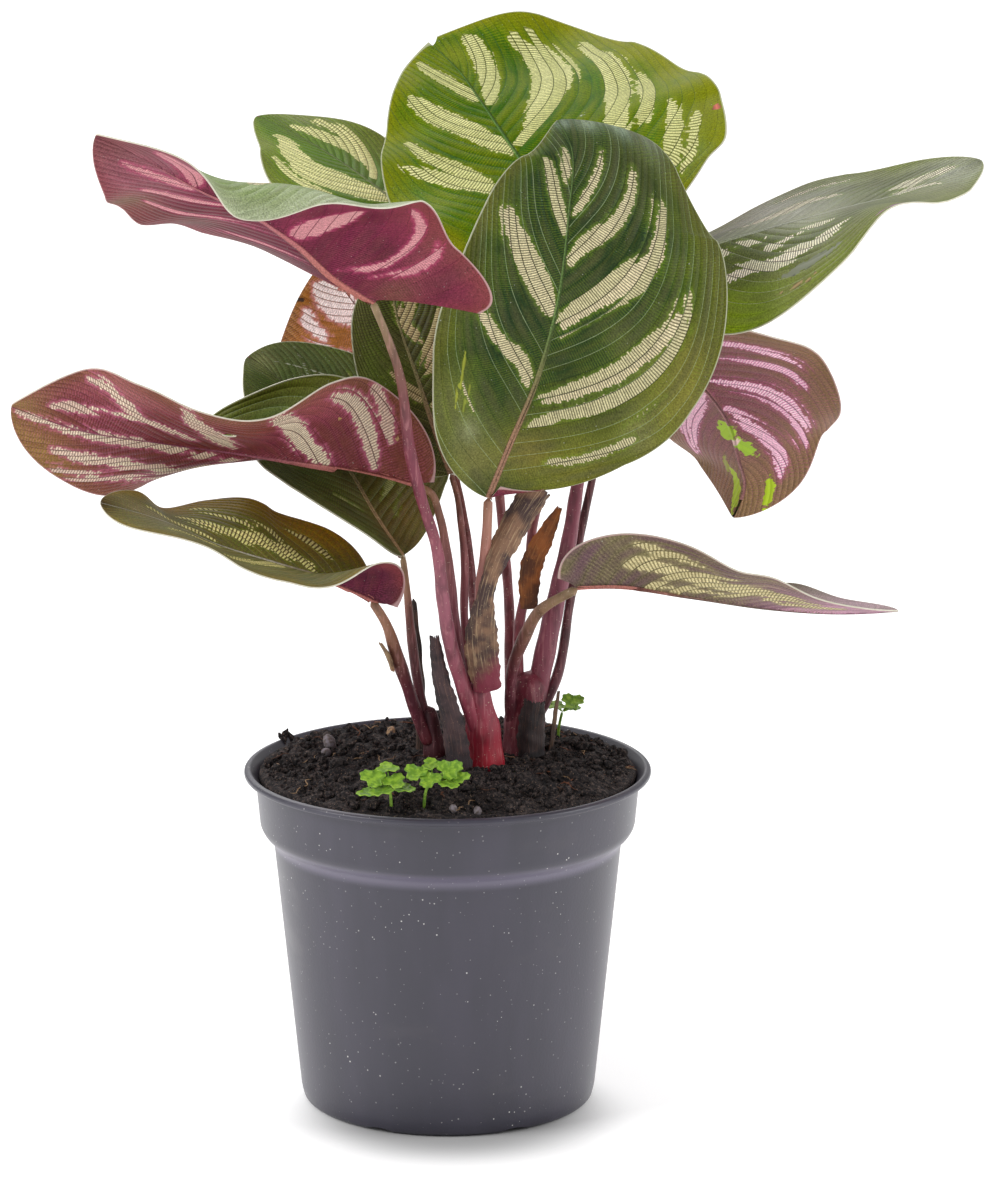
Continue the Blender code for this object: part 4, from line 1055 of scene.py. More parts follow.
def make_blade(name, blade):
    sheet, along, across = blade_grid("leaf_" + name, HOLES.get(name))
    flat = write_marks(sheet, name, blade, along, across)
    middle, normal = blade_points(blade, along, across)
    set_places(sheet, middle + UPPER_LIFT * normal)
    rib_radius = 1.15 * (1 - along) ** 0.7 + 0.12
    bulge = np.sqrt(np.clip(1 - (np.abs(flat[:, 1]) / rib_radius) ** 2, 0, 1)) * rib_radius / 1.27
    thick = sheet.vertex_groups.new(name="thickness")
    for i, share in enumerate(BLADE_THIN / RIB_THICK + (1 - BLADE_THIN / RIB_THICK) * bulge):
        thick.add([i], float(share), "REPLACE")
    upper, under = FACES[name]
    for finish in (face_finish(name + " upper face", upper, "upper"),
                   face_finish(name + " underside", under, "under"), margin_finish):
        sheet.data.materials.append(finish)
    apply(sheet, "SOLIDIFY", thickness=RIB_THICK * MM, offset=-1, vertex_group="thickness",
          material_offset=1, material_offset_rim=2, use_even_offset=False)
    smooth_shade(sheet)
    stands_for(sheet, "leaf", "blade_" + name)


for leaf_name, leaf_blade in LEAVES.items():
    make_blade(leaf_name, leaf_blade)

# %% [markdown]
# ## Stalks
# Each leaf hangs on a thin round stalk that ends in a short swollen joint, cream or tan, just under its
# blade. The stalks grow out of three fleshy shoots, pink to bright red at the soil. A stalk starts as a
# cylinder whose side edges are cut into rings, and the rings are then laid along the solid's own path. It
# ends inside its blade's rib, so no gap shows. Its colours are given from top to foot.

# %% Round tubes
PATH_STEPS = 399


def ring_frames(centres):
    """Two directions across the path at each ring, carried along it so that the tube isn't twisted."""
    ahead = unit(np.gradient(centres, axis=0))
    first = np.cross(ahead[0], (0.0, 1.0, 0.0))
    side = unit(first if np.linalg.norm(first) > 0.1 else np.cross(ahead[0], (1.0, 0.0, 0.0)))
    sides = []
    for way in ahead:
        side = side - (side @ way) * way
        side = side / np.linalg.norm(side)
        sides.append(side)
    sides = np.array(sides)
    return sides, np.cross(ahead, sides)


def round_tube(name, path, radii, tints, sides=20, step=1.3, ridges=0.03):
    """A tapered round tube along path. Radii and tints go from its start to its end at even steps."""
    length = spans_of(path).sum()
    choose()
    bpy.ops.mesh.primitive_cylinder_add(vertices=sides, radius=1, depth=2, end_fill_type="TRIFAN")
    tube = new_piece(name)
    up = places_of(tube)[:, 2] * MM
    pick(tube.data.edges, "EDGE", [abs(up[e.vertices[0]] - up[e.vertices[1]]) > 1 for e in tube.data.edges])
    with edit_mode():
        bpy.ops.mesh.subdivide(number_cuts=max(6, round(length / step)) - 1)
    flat = places_of(tube) * MM
    way = (1 - flat[:, 2]) / 2
    centres = smooth(path, steps_along(path), np.linspace(0, 1, PATH_STEPS + 1))
    sideways, upways = ring_frames(centres)
    row = np.clip(np.round(way * PATH_STEPS).astype(int), 0, PATH_STEPS)
    around = np.arctan2(flat[:, 1], flat[:, 0])
    radius = even(radii, way) * np.hypot(flat[:, 0], flat[:, 1])
    radius = radius * (1 + ridges * np.sin(5 * around + 3 * way) + ridges * np.sin(11 * way * length / 20))
    near_end = np.minimum(way, 1 - way) * length / even(radii, way)
    radius = radius * np.sqrt(np.clip(1 - (1 - np.clip(near_end, 0, 1)) ** 2, 0.02, 1))
    out = np.cos(around)[:, None] * sideways[row] + np.sin(around)[:, None] * upways[row]
    set_places(tube, centres[row] + radius[:, None] * out)
    tint = evenly([colour(*t) for t in tints], way).clip(0, 1)
    tint[:, 3] = 1
    set_values(tube, tint=tint, down=way * length)
    choose(tube)
    with edit_mode("SELECT"):
        bpy.ops.mesh.normals_make_consistent(inside=False)
    return tube


# %% Stalk finish
given = group("stalk skin", Streak=(236, 170, 170), Speck=(214, 190, 170), Rough=0.4)
long_grain = noise(object_place(1.3, 1.3, 0.10), 1.0, 3.0)
patches = noise(object_place(0.35, 0.35, 0.12), 1.0)
skin = mix(between(long_grain, 0.50, 0.72, 0.0, 0.22), attribute("tint", "Color"), given["Streak"])
skin = mix(between(patches, 0.42, 0.72, 0.0, 0.5), skin, colour(110, 60, 70), "MULTIPLY")
specks = between(noise(object_place(), 1.6, 1.0), 0.70, 0.75, 0.0, 0.6)
stalk_skin = close(
    Colour=mix(specks, skin, given["Speck"]),
    Roughness=math("MULTIPLY_ADD", long_grain, 0.2, given["Rough"]),
    Height=long_grain * 0.12 + specks * 0.1,
)
stalk_finish = finish_from("stalk", stalk_skin)

# %% The three shoots
STALKS = {  # path, radii and colours from top to foot
    "left": {
        "left_lower": ([(-18, -14, 148), (-15, -11, 138), (-12, -8, 128), (-9, -5, 118), (-5, -3, 108)],
            (1.5, 2.0, 1.8, 1.9, 2.2), [(150, 110, 82), (146, 100, 76), (104, 50, 52), (100, 40, 54),
            (112, 46, 52)]),
        "dark_left": ([(-12, -6, 158), (-11, -5, 146), (-9, -3, 129), (-6, -2, 114), (-4, -1, 108)],
            (1.1, 1.5, 1.5, 2.0), [(178, 150, 110), (140, 90, 74), (104, 58, 60), (96, 44, 52),
            (90, 38, 46)]),
    },
    "middle": {
        "upper_left": ([(-17, -41, 239), (-14, -40, 230), (-10, -34, 201), (-7, -31, 188), (-3, -28, 174),
            (-1, -24, 156), (1, -20, 143), (5, -16, 128), (9, -13, 114)], (1.3, 1.7, 1.6, 1.9, 2.2, 2.4),
            [(158, 138, 100), (120, 76, 66), (118, 46, 64), (132, 60, 76), (150, 84, 100), (152, 78, 94),
            (150, 40, 62)]),
        "front": ([(11, -20, 169), (10, -19, 161), (10, -16, 143), (10, -13, 124), (11, -11, 112)],
            (1.6, 1.9, 2.2, 2.4), [(160, 116, 92), (160, 100, 92), (146, 72, 84), (150, 44, 60)]),
        "left_middle": ([(-5, -14, 187), (-2, -13, 179), (0, -12, 167), (2, -11, 149), (5, -11, 127),
            (9, -11, 112)], (1.2, 1.6, 1.5, 1.7, 2.0), [(150, 112, 76), (128, 76, 68), (120, 58, 68),
            (118, 50, 62), (140, 40, 58)]),
        "middle": ([(3, -3, 183), (4, -5, 176), (5, -6, 166), (5, -7, 147), (8, -8, 123), (10, -9, 112)],
            (1.0, 1.2, 1.2, 1.4, 1.8), [(140, 96, 70), (124, 66, 62), (122, 56, 64), (120, 50, 62),
            (140, 42, 58)]),
        "rust": ([(2, 27, 184), (6, 14, 165), (8, 2, 145), (10, -5, 122), (11, -8, 112)],
            (1.0, 1.3, 1.4, 1.8), [(140, 96, 66), (118, 64, 60), (112, 52, 58), (126, 42, 54)]),
    },
    "right": {
        "right": ([(50, 4, 236), (44, 9, 212), (38, 10, 183), (36, 10, 169), (31, 9, 145), (28, 9, 130),
            (24, 8, 112)], (1.0, 1.7, 2.3, 3.0, 3.4), [(150, 112, 80), (116, 50, 58), (122, 54, 68),
            (136, 70, 86), (138, 66, 84), (124, 40, 56)]),
        "right_pink": ([(50, 15, 221), (46, 17, 200), (42, 17, 181), (39, 16, 167), (36, 14, 147),
            (31, 11, 122), (25, 8, 112)], (0.8, 1.3, 1.4, 1.8), [(150, 110, 90), (96, 56, 56), (90, 46, 52),
            (110, 50, 60)]),
        "back_top": ([(36, 22, 213), (29, 20, 186), (25, 17, 169), (24, 15, 156), (21, 11, 140),
            (21, 7, 119), (21, 6, 112)], (1.3, 1.4, 1.5, 1.8), [(170, 130, 100), (156, 96, 96),
            (150, 84, 90), (150, 60, 76)]),
        "left_back": ([(8, 38, 221), (13, 33, 195), (16, 26, 169), (18, 18, 147), (19, 10, 118),
            (20, 7, 112)], (1.3, 1.4, 1.5, 1.8), [(160, 120, 90), (140, 80, 80), (130, 60, 70)]),
        "right_lower": ([(33, -12, 155), (27, -8, 150), (23, -4, 142), (19, 0, 130), (19, 4, 112)],
            (1.6, 1.9, 1.6, 2.0), [(150, 128, 92), (146, 110, 86), (110, 50, 58), (100, 42, 50)]),
    },
}
SHOOTS = {  # place, radius, top, and colours from top to foot
    "left": ((-4, -2), 3.4, (-6, -3, 120), [(84, 38, 48), (78, 34, 42), (78, 36, 40), (66, 36, 36)]),
    "middle": ((11, -11), 5.4, (8, -13, 130), [(134, 54, 74), (154, 34, 56), (176, 18, 40), (150, 30, 42)]),
    "right": ((22, 6), 6.4, (25, 8, 128), [(128, 48, 66), (116, 36, 52), (96, 34, 46), (74, 34, 40)]),
}
SHOOT_FOOT = 86.0

for side, ((x, y), radius, top, tints) in SHOOTS.items():
    parts = [round_tube("crown", [top, (x, y, 107), (x, y, 98), (x, y, SHOOT_FOOT)],
                        (0.6 * radius, 0.9 * radius, radius, radius), tints, sides=36, ridges=0.05)]
    for leaf, (path, radii, stalk_tints) in STALKS[side].items():
        parts.append(round_tube(leaf, [LEAVES[leaf].rib[0], *path], (0.8 * radii[0], *radii), stalk_tints))
    shoot = join(parts, "stalks_" + side, stalk_finish)
    smooth_shade(shoot)
    stands_for(shoot, "stalk", "shoot_" + side)

# %% [markdown]
# ## Dry sheaths
# Old leaf sheaths stay round the foot of the shoots as papery brown strips, split and frayed at their
# edges. Each is a fine grid on the solid's own middle line that curls round what it clasps. Its margin is
# eaten back by a little noise, and it is only a third of a millimetre thick.

# %% Dry sheath finish
given = group("dry skin", Ground=(90, 66, 48), Dark=(36, 26, 24), Pale=(176, 148, 112), Foot=(36, 26, 24),
              Pale_share=0.35, Rough=0.62)
fibres = noise(vector(attribute("across_mm") * 2.2, attribute("down") * 0.10), 1.0, 4.0, 0.65)
blots = noise(object_place(), 0.16, 3.0)
skin = mix(between(blots, 0.38, 0.62), given["Ground"], given["Dark"])
skin = mix(between(fibres, 0.5, 0.7) * given["Pale share"], skin, given["Pale"])
skin = mix(between(fibres, 0.42, 0.30, 0.0, 0.7), skin, given["Dark"])
foot = math("MULTIPLY_ADD", blots - 0.5, 0.8, attribute("foot"))
skin = mix(between(foot, 0.4, 0.8), skin, given["Foot"])
spots = between(noise(object_place(), 1.9, 1.0), 0.70, 0.74, 0.0, 0.5)
dry_skin = close(
    Colour=mix(spots, skin, given["Pale"]),
    Roughness=math("MULTIPLY_ADD", blots, 0.15, given["Rough"]),
    Height=fibres * 0.5,
)

# %% Sheaths


@dataclass
class Sheath:
    """A strip from its top to its foot, with half widths in mm and its curl in degrees."""

    path: list
    facing: tuple
    width: list
    curl: float
    ground: tuple
    dark: tuple
    pale: tuple
    pale_share: float = 0.35
    foot: tuple = (36, 26, 24)


SHEATHS = {
    "sheath_dark": Sheath([(-4, -17.6, 145), (-2, -18.6, 131), (1, -19.4, 119), (3, -19.4, 105.3)],
        (-0.3, -1, 0), [1.6, 3.0, 4.0, 4.6], -60, (78, 58, 60), (44, 36, 40), (160, 120, 100), 0.3,
        (54, 42, 46)),
    "sheath_centre": Sheath([(27, -15.5, 189), (19, -20, 177), (12, -24.8, 162), (10, -22.8, 145),
        (12, -17.8, 128)], (0, -1, 0.1), [4.6, 4.4, 2.6, 5.4, 4.4], -50, (134, 100, 76), (66, 46, 44),
        (210, 182, 142), 0.6, (134, 50, 68)),
    "sheath_orange": Sheath([(33, 10, 177), (29, 9, 169), (25, 10, 160), (24, 10.4, 146)], (0, -1, 0),
        [0.8, 3.0, 3.4, 2.6], -40, (168, 98, 44), (96, 56, 34), (214, 150, 80), 0.5, (96, 60, 40)),
    "sheath_black": Sheath([(26, -5, 122), (25, -5.5, 113), (25, -5.5, 105)], (0.1, -1, 0), [4.6, 6.0, 6.0],
        -90, (60, 46, 46), (34, 28, 30), (130, 90, 70), 0.35, (32, 26, 28)),
    "sheath_thin": Sheath([(33, 7, 122), (32, 6, 114), (31, 6, 104.4)], (1, -0.3, 0), [1.0, 1.8, 2.0], -40,
        (110, 80, 56), (60, 42, 34), (160, 120, 84)),
    "bract_tan": Sheath([(-19.7, -14.7, 142), (-17.7, -13.7, 138), (-16.2, -12.2, 133)], (-1, -0.6, 0),
        [0.8, 1.6, 1.2], -40, (170, 138, 100), (110, 80, 58), (206, 180, 140), 0.35, (150, 110, 80)),
}


def make_sheath(name, sheath):
    strip, flat = new_grid("dry_" + name, 70, 28)
    along, across = (flat[:, 0] + 1) / 2, -flat[:, 1]
    length = spans_of(sheath.path).sum()
    fray = 0.10 * np.sin(9 * across + 2) + 0.07 * np.sin(23 * across) + 0.05 * np.sin(41 * across + 1)
    top_pull = np.clip(1 - along / 0.25, 0, 1) ** 2 * np.abs(fray) * 6 / length
    along = np.clip(along + top_pull, 0, 1)
    points, _, normal, rightward = rib_frame(sheath.path, sheath.facing, along)
    bite = 0.05 * np.sin(0.9 * along * length + 3 * np.sign(across)) + 0.04 * np.sin(2.3 * along * length)
    width = np.maximum(even(sheath.width, along), 0.3) * (1 + bite * np.abs(across) ** 3)
    curl = radians(sheath.curl)
    turn = curl * np.abs(across)
    sideways = np.sign(across) * np.sin(turn) / curl
    inward = (1 - np.cos(turn)) / curl + 0.03 * np.sin(7 * across)
    inward += 0.02 * np.sin(12 * along * length / 10 + 4 * across)
    set_places(strip, points + width[:, None] * (sideways[:, None] * rightward + inward[:, None] * normal))
    set_values(strip, across_mm=across * width, down=along * length, foot=along**5 * (1 - 0.35 * across))
    strip.data.materials.append(finish_from(
        name.replace("_", " "), dry_skin, Ground=sheath.ground, Dark=sheath.dark, Pale=sheath.pale,
        Pale_share=sheath.pale_share, Foot=sheath.foot))
    apply(strip, "SOLIDIFY", thickness=0.35 * MM, offset=0)
    smooth_shade(strip)
    stands_for(strip, "dry_sheath", name)


for sheath_name, sheath_form in SHEATHS.items():
    make_sheath(sheath_name, sheath_form)

# %% The dead stalk
DEAD_STALK = [(-10, 3, 151), (-9, 3, 135), (-8, 4, 112), (-8, 4, 103), (-8, 4, 95)]
dead = round_tube("dry_stalk", DEAD_STALK, (0.7, 1.4, 1.5, 1.4),
                  [(70, 50, 44), (84, 62, 52), (60, 44, 42), (48, 36, 34)], ridges=0.12)
set_values(dead, across_mm=1.4 * places_of(dead)[:, 0])
dead.data.materials.append(finish_from("dry stalk", dry_skin, Ground=(84, 62, 52), Dark=(40, 30, 30),
                                       Pale=(150, 120, 96), Pale_share=0.4))
smooth_shade(dead)
stands_for(dead, "dry_sheath", "stalk_dead")

# %% [markdown]
# ## The nursery pot
# It is blown from thin dark plastic: a rolled lip, an upright band, a soft shoulder and a tapered body that
# stands on a low ring with drain holes. Turning is the natural way to make it. A circle is extruded from
# ring to ring, up the outside, over the lip and down the inside, so the wall is closed. The holes and the
# arcs in the ring are cut.

# %% Turned shapes


def turned(name, profile, sides):
    """A shape turned round the Z axis. The profile, radius and height in mm, starts and ends off the axis."""
    choose()
    radius, height = profile[0]
    bpy.ops.mesh.primitive_circle_add(vertices=sides, radius=radius * MM, location=(0, 0, height * MM))
    piece = new_piece(name)
    bpy.ops.object.transform_apply(location=True)
    with edit_mode("SELECT", "EDGE"):
        for (radius, height), (next_radius, next_height) in zip(profile, profile[1:]):
            rise, grow = (next_height - height) * MM, next_radius / radius
            bpy.ops.mesh.extrude_edges_move(TRANSFORM_OT_translate={"value": (0, 0, rise)})
            bpy.ops.transform.resize(value=(grow, grow, 1), center_override=(0, 0, next_height * MM))
        bpy.ops.mesh.select_all(action="SELECT")
        bpy.ops.mesh.fill_holes(sides=0)
        bpy.ops.mesh.select_all(action="SELECT")
        bpy.ops.mesh.normals_make_consistent(inside=False)
    return piece


def rounded(profile, reach=1.0, steps=4):
    """The profile with each corner cut back by up to reach and bent round in steps."""
    points = [np.array(p, float) for p in profile]
    made = [points[0]]
    for before, corner, after in zip(points, points[1:], points[2:]):
        back, on = before - corner, after - corner
        cut = min(reach, 0.45 * np.linalg.norm(back), 0.45 * np.linalg.norm(on))
        start = corner + back / np.linalg.norm(back) * cut
        end = corner + on / np.linalg.norm(on) * cut
        for t in np.linspace(0, 1, steps):
            made.append((1 - t) ** 2 * start + 2 * t * (1 - t) * corner + t**2 * end)
    return [tuple(p) for p in made] + [tuple(points[-1])]


# %% Pot shape
POT_WALL = 1.2
POT_PROFILE = [
    (26.5, 0), (27.0, 2.0), (37.0, 2.0), (37.5, 0), (41.5, 0), (42.8, 1.0), (43.6, 4.0), (51.3, 78.5),
    (51.8, 79.9), (54.1, 81.8), (55.3, 84.0), (56.6, 97.6), (57.0, 98.4), (60.0, 99.0), (60.0, 100.4),
    (58.4, 101.0), (57.6, 100.2), (55.4, 97.6), (54.1, 84.6), (50.1, 78.8), (42.4, 4.4), (40.9, 2.6),
    (38.3, 2.6), (37.8, 3.2), (26.2, 3.2), (25.7, 1.2),
]
pot = turned("nursery_pot", rounded(POT_PROFILE), 180)
print("pot profile", len(POT_PROFILE), "corners,", len(pot.data.polygons), "faces")

# %% Drain holes and the arcs in the ring
RING_MIDDLE, DRAIN_HOLES, DRAIN_RADIUS = 32.0, 8, 2.6
FOOT_RADIUS, NOTCH_ANGLES, NOTCH_WIDTH, NOTCH_HEIGHT = 41.5, (-118, -62, 62, 118), 11.0, 1.4
NOTCH_ARC = (NOTCH_WIDTH**2 / 4 + NOTCH_HEIGHT**2) / (2 * NOTCH_HEIGHT)
CUT_LENGTH = 12


def cut(radius, out, angle, height, turn, sides):
    """Cuts a round bar out of the pot. Its middle lies out from the axis at this angle and height."""
    choose()
    bpy.ops.mesh.primitive_cylinder_add(
        vertices=sides, radius=radius * MM, depth=CUT_LENGTH * MM, rotation=turn,
        location=[c * MM for c in (out * cos(angle), out * sin(angle), height)])
    tool = new_piece("cutter")
    apply(pot, "BOOLEAN", operation="DIFFERENCE", object=tool, solver="EXACT")
    bpy.data.objects.remove(tool)


for i in range(DRAIN_HOLES):
    cut(DRAIN_RADIUS, RING_MIDDLE, 2 * pi * (i + 0.5) / DRAIN_HOLES, 2, (0, 0, 0), 32)
for degrees in NOTCH_ANGLES:
    cut(NOTCH_ARC, FOOT_RADIUS, radians(degrees), NOTCH_HEIGHT - NOTCH_ARC, (0, pi / 2, radians(degrees)), 96)
print("pot after cutting:", len(pot.data.polygons), "faces")

# %% [markdown]
# The plastic is a dull blue-black that looks grey in the bright studio. Handling has left pale dust specks,
# faint upright scuffs and a few clean smudges where fingers wiped the dust away. A pale band on the shoulder
# under the upright band is a painted highlight, for the plastic's reflection of the white floor.

# %% Pot finish
given = group("nursery plastic", Plastic=(45, 43, 57), Scuff=(66, 62, 78), Shoulder=(112, 106, 126),
              Dust=(220, 218, 214), Dust_share=0.8, Rough=0.42)
wear = noise(object_place(0.05, 0.05, 0.012), 1.0, 3.0, 0.6)
skin = mix(between(wear, 0.35, 0.75, 0.0, 0.5), given["Plastic"], given["Scuff"])
up = node("SeparateXYZ", {0: object_place()}, "Z")
# A painted highlight: the shoulder under the upright band is lightened for its reflection of the white floor.
shoulder_highlight = between(up, 76.5, 79.5) * between(up, 81, 83.5, 1, 0)
skin = mix(shoulder_highlight * 0.7, skin, given["Shoulder"])
wiped = between(noise(object_place(0.03, 0.03, 0.06), 1.0, 4.0, 0.6), 0.58, 0.70, 0.0, 0.5)
skin = mix(wiped, skin, colour(54, 51, 62))
speck_gap = node("TexVoronoi", {"Vector": object_place(), "Scale": 0.8}, "Distance")
speck_size = chance(Value(speck_gap.socket.node.outputs["Position"])) * 0.5 - 0.32
dust = between(speck_gap - speck_size, 0.0, 0.05, 1.0, 0.0) * given["Dust share"]
clusters = noise(object_place(0.06, 0.06, 0.06), 1.0, 3.0, 0.6)
plastic = close(
    Colour=mix(dust * between(clusters, 0.5, 0.62, 0.25, 1), skin, given["Dust"]),
    Roughness=math("MULTIPLY_ADD", wear, 0.15, given["Rough"]) - wiped * 0.1,
    Height=noise(object_place(), 1.2) * 0.06,
)
pot.data.materials.append(finish_from(
    "nursery pot", plastic, {"Specular IOR Level": 0.5, "Coat Weight": 0.5, "Coat Roughness": 0.3}))
smooth_shade(pot, 30)
stands_for(pot, "pot_plastic", "pot")

# %% [markdown]
# ## Soil
# The pot is filled with black peat that domes a little above the rim. Its top is made of fine crumbs of
# every size, with reddish root fibres and a few small stones. One body gives the dome and its lumps. Ten
# crumb shapes are modelled once, and hundreds of turned copies of their points are laid over the dome with
# a seeded random draw.

# %% Soil body
SOIL_EDGE, SOIL_DOME, SOIL_BUMP = 100.2, 4.2, 1.1
SOIL_RADIUS = 56.6 - POT_WALL - 0.3
SOIL_RINGS = 72
GRIT = ((5.2, 0.5), (2.9, 0.38), (1.7, 0.26), (1.1, 0.16))  # size and height in mm


def soil_height(x, y):
    """The top of the soil as the solid has it: a low dome with lumps that fade out round the shoots."""
    share = np.clip(np.hypot(x, y) / SOIL_RADIUS, 0, 1)
    lumps = (np.sin(0.31 * x + 1.3) * np.cos(0.27 * y + 0.4) + 0.7 * np.sin(0.55 * x - 0.47 * y)
             + 0.5 * np.cos(0.83 * y + 0.2 * x))
    nearest = np.min([np.hypot(x - a, y - b) for (a, b), *_ in SHOOTS.values()], axis=0)
    fade = np.clip(nearest / 16.0 - 0.6, 0, 1) * np.clip(6 * (1 - share), 0, 1)
    return SOIL_EDGE + SOIL_DOME * (1 - share**3) + SOIL_BUMP * lumps * fade


def grit(x, y):
    """Fine unevenness of the crumbled surface in millimetres."""
    total = np.zeros_like(x)
    for size, height in GRIT:
        for a, b, c in rng.uniform(0, 2 * pi, (7, 3)):
            total += height / 2.2 * np.sin((x * cos(a) + y * sin(a)) / size * 1.9 + b) * np.cos(y / size + c)
    return total


rings = [(share * SOIL_RADIUS, SOIL_EDGE) for share in np.linspace(0.01, 1, SOIL_RINGS)]
body = [(SOIL_RADIUS + 0.5, SOIL_EDGE - 1.2), (SOIL_RADIUS, 97.0), (53.6, 84.9), (49.6, 79.1), (41.9, 5.2),
        (39.5, 3.6), (2.0, 3.6)]
soil = turned("peat_soil", rings + body, 200)
places = places_of(soil)
top = (places[:, 2] > SOIL_EDGE - 0.1) & (np.hypot(places[:, 0], places[:, 1]) <= SOIL_RADIUS + 0.01)
x, y = places[top, 0], places[top, 1]
places[top, 2] = soil_height(x, y) + grit(x, y)
set_places(soil, places)
print("soil top points:", top.sum())

# %% Peat finish
given = group("peat", Dark=(27, 25, 27), Brown=(98, 86, 82), Rough=0.8)
crumble = noise(object_place(), 0.9, 4.0, 0.7)
skin = mix(between(crumble, 0.42, 0.72), given["Dark"], given["Brown"])
skin = mix(between(noise(object_place(), 0.12), 0.35, 0.7, 0.0, 0.5), skin, given["Dark"])
flecks = between(noise(object_place(), 2.4, 1.0), 0.67, 0.72, 0.0, 0.7)
peat = close(
    Colour=mix(flecks, skin, colour(150, 124, 104)),
    Roughness=math("MULTIPLY_ADD", crumble, 0.1, given["Rough"]),
    Height=crumble * 0.9,
)
peat_finish = finish_from("peat", peat, {"Specular IOR Level": 0.25})
soil.data.materials.append(peat_finish)
smooth_shade(soil)
stands_for(soil, "peat", "soil")

# %% Crumbs
CLODS, CRUMBS = 620, 3200
CLEAR = {(-4, -2): 3.6, (11, -11): 5.8, (22, 6): 6.8, (-8, 4): 2.0}  # how near a crumb may lie to each foot


def crumb_shape(detail, flatness, roughness):
    """One crumb: a ball of few faces, squashed and made uneven. Returns its points and triangles."""
    choose()
    bpy.ops.mesh.primitive_ico_sphere_add(subdivisions=detail, radius=1)
    ball = new_piece("crumb")
    points = np.array([v.co for v in ball.data.vertices])
    faces = [tuple(p.vertices) for p in ball.data.polygons]
    bpy.data.objects.remove(ball)
    points *= 1 + rng.uniform(-roughness, roughness, (len(points), 1))
    points *= np.array([1, rng.uniform(0.6, 1), flatness])
    return points, faces


def spin_matrix():
    """A random turn."""
    axes, _ = np.linalg.qr(rng.normal(size=(3, 3)))
    return axes if np.linalg.det(axes) > 0 else -axes


def scattered(name, shapes, places, sizes, material):
    """Copies of the shapes at these places as one piece."""
    points, faces = [], []
    count = 0
    for place, size in zip(places, sizes):
        shape, shape_faces = shapes[rng.integers(len(shapes))]
        points.append(shape @ spin_matrix().T * size + place)
        faces.extend(tuple(count + i for i in f) for f in shape_faces)
        count += len(shape)
    mesh = bpy.data.meshes.new(name)
    mesh.from_pydata(np.concatenate(points) * MM, [], faces)
    piece = bpy.data.objects.new(name, mesh)
    bpy.context.scene.collection.objects.link(piece)
    mesh.materials.append(material)
    return piece


def on_soil(count, sink, sizes):
    """Random places on the dome for pieces of these sizes, in millimetres, clear of the shoots."""
    radius = (SOIL_RADIUS - 1.6) * np.sqrt(rng.uniform(0, 1, count))
    angle = rng.uniform(0, 2 * pi, count)
    x, y = radius * np.cos(angle), radius * np.sin(angle)
    keep = np.all([np.hypot(x - a, y - b) > reach for (a, b), reach in CLEAR.items()], axis=0)
    z = soil_height(x, y) + sink * sizes
    return np.stack([x, y, z], -1)[keep], sizes[keep]


coarse = [crumb_shape(2, 0.75, 0.22) for _ in range(5)]
small = [crumb_shape(1, 0.8, 0.25) for _ in range(5)]
sizes = rng.uniform(0.9, 2.1, CLODS) * rng.uniform(0.6, 1.1, CLODS)
clods = scattered("peat_clods", coarse, *on_soil(CLODS, 0.35, sizes), peat_finish)
sizes = rng.uniform(0.3, 0.85, CRUMBS)
crumbs = scattered("peat_crumbs", small, *on_soil(CRUMBS, 0.4, sizes), peat_finish)
for piece in (clods, crumbs):
    stands_for(piece, "peat")

# %% Root fibres
FIBRES = 60
FIBRE_TONES = ((112, 66, 42), (84, 56, 42), (148, 118, 86))


def fibre(place, length, turn):
    """A thin root fibre that lies on the soil in a loose bend."""
    way = np.linspace(-1, 1, 7)[:, None]
    ahead = np.array([cos(turn), sin(turn), 0.0])
    aside = np.array([-sin(turn), cos(turn), 0.0])
    path = place + way * length / 2 * ahead + rng.normal(0, 0.07 * length, (7, 1)) * aside
    path[:, 2] = soil_height(path[:, 0], path[:, 1]) + 0.7 + rng.uniform(0, 0.5, 7)
    tint = FIBRE_TONES[rng.choice([0, 1, 2])]
    return round_tube("fibre", path, (0.10, 0.17, 0.10), [tint, tint], sides=6, step=1.0)


places, _ = on_soil(FIBRES, 0, np.ones(FIBRES))
strands = [fibre(p, rng.uniform(4, 11), rng.uniform(0, pi)) for p in places]
root_finish = finish_from("root fibre", stalk_skin, Rough=0.7, Streak=(150, 110, 80))
stands_for(join(strands, "root_fibres", root_finish), "peat")

# %% Small stones
STONES = {  # their colour, and each one's place and radius
    "tan": ((176, 140, 104), [(-17, 20, 1.7), (-50, -6, 1.5), (24, 14, 1.5)]),
    "grey": ((124, 116, 122), [(-35, 10, 2.6), (-36, 5, 1.6), (2, -52, 1.5), (9, -51.5, 1.6)]),
    "white": ((214, 210, 200),
              [(30, -30, 0.6), (-24, -30, 0.5), (-40, -20, 0.5), (40, -16, 0.6), (14, -38, 0.5)]),
}

given = group("small stone", Ground=(160, 130, 100), Rough=0.7)
mottle = noise(object_place(), 1.1, 4.0)
stone = close(
    Colour=mix(between(mottle, 0.35, 0.7), given["Ground"], colour(90, 80, 74)),
    Roughness=math("MULTIPLY_ADD", mottle, 0.2, given["Rough"]),
    Height=mottle * 0.3,
)
for tone, (tint, spots) in STONES.items():
    spots = np.array(spots, float)
    heights = soil_height(spots[:, 0], spots[:, 1]) + 0.6 * spots[:, 2]
    middles = np.column_stack([spots[:, :2], heights])
    pebbles = scattered("stones_" + tone, [crumb_shape(3, 0.7, 0.05)], middles, spots[:, 2],
                        finish_from(tone + " stone", stone, Ground=tint))
    smooth_shade(pebbles)
    stands_for(pebbles, "peat")

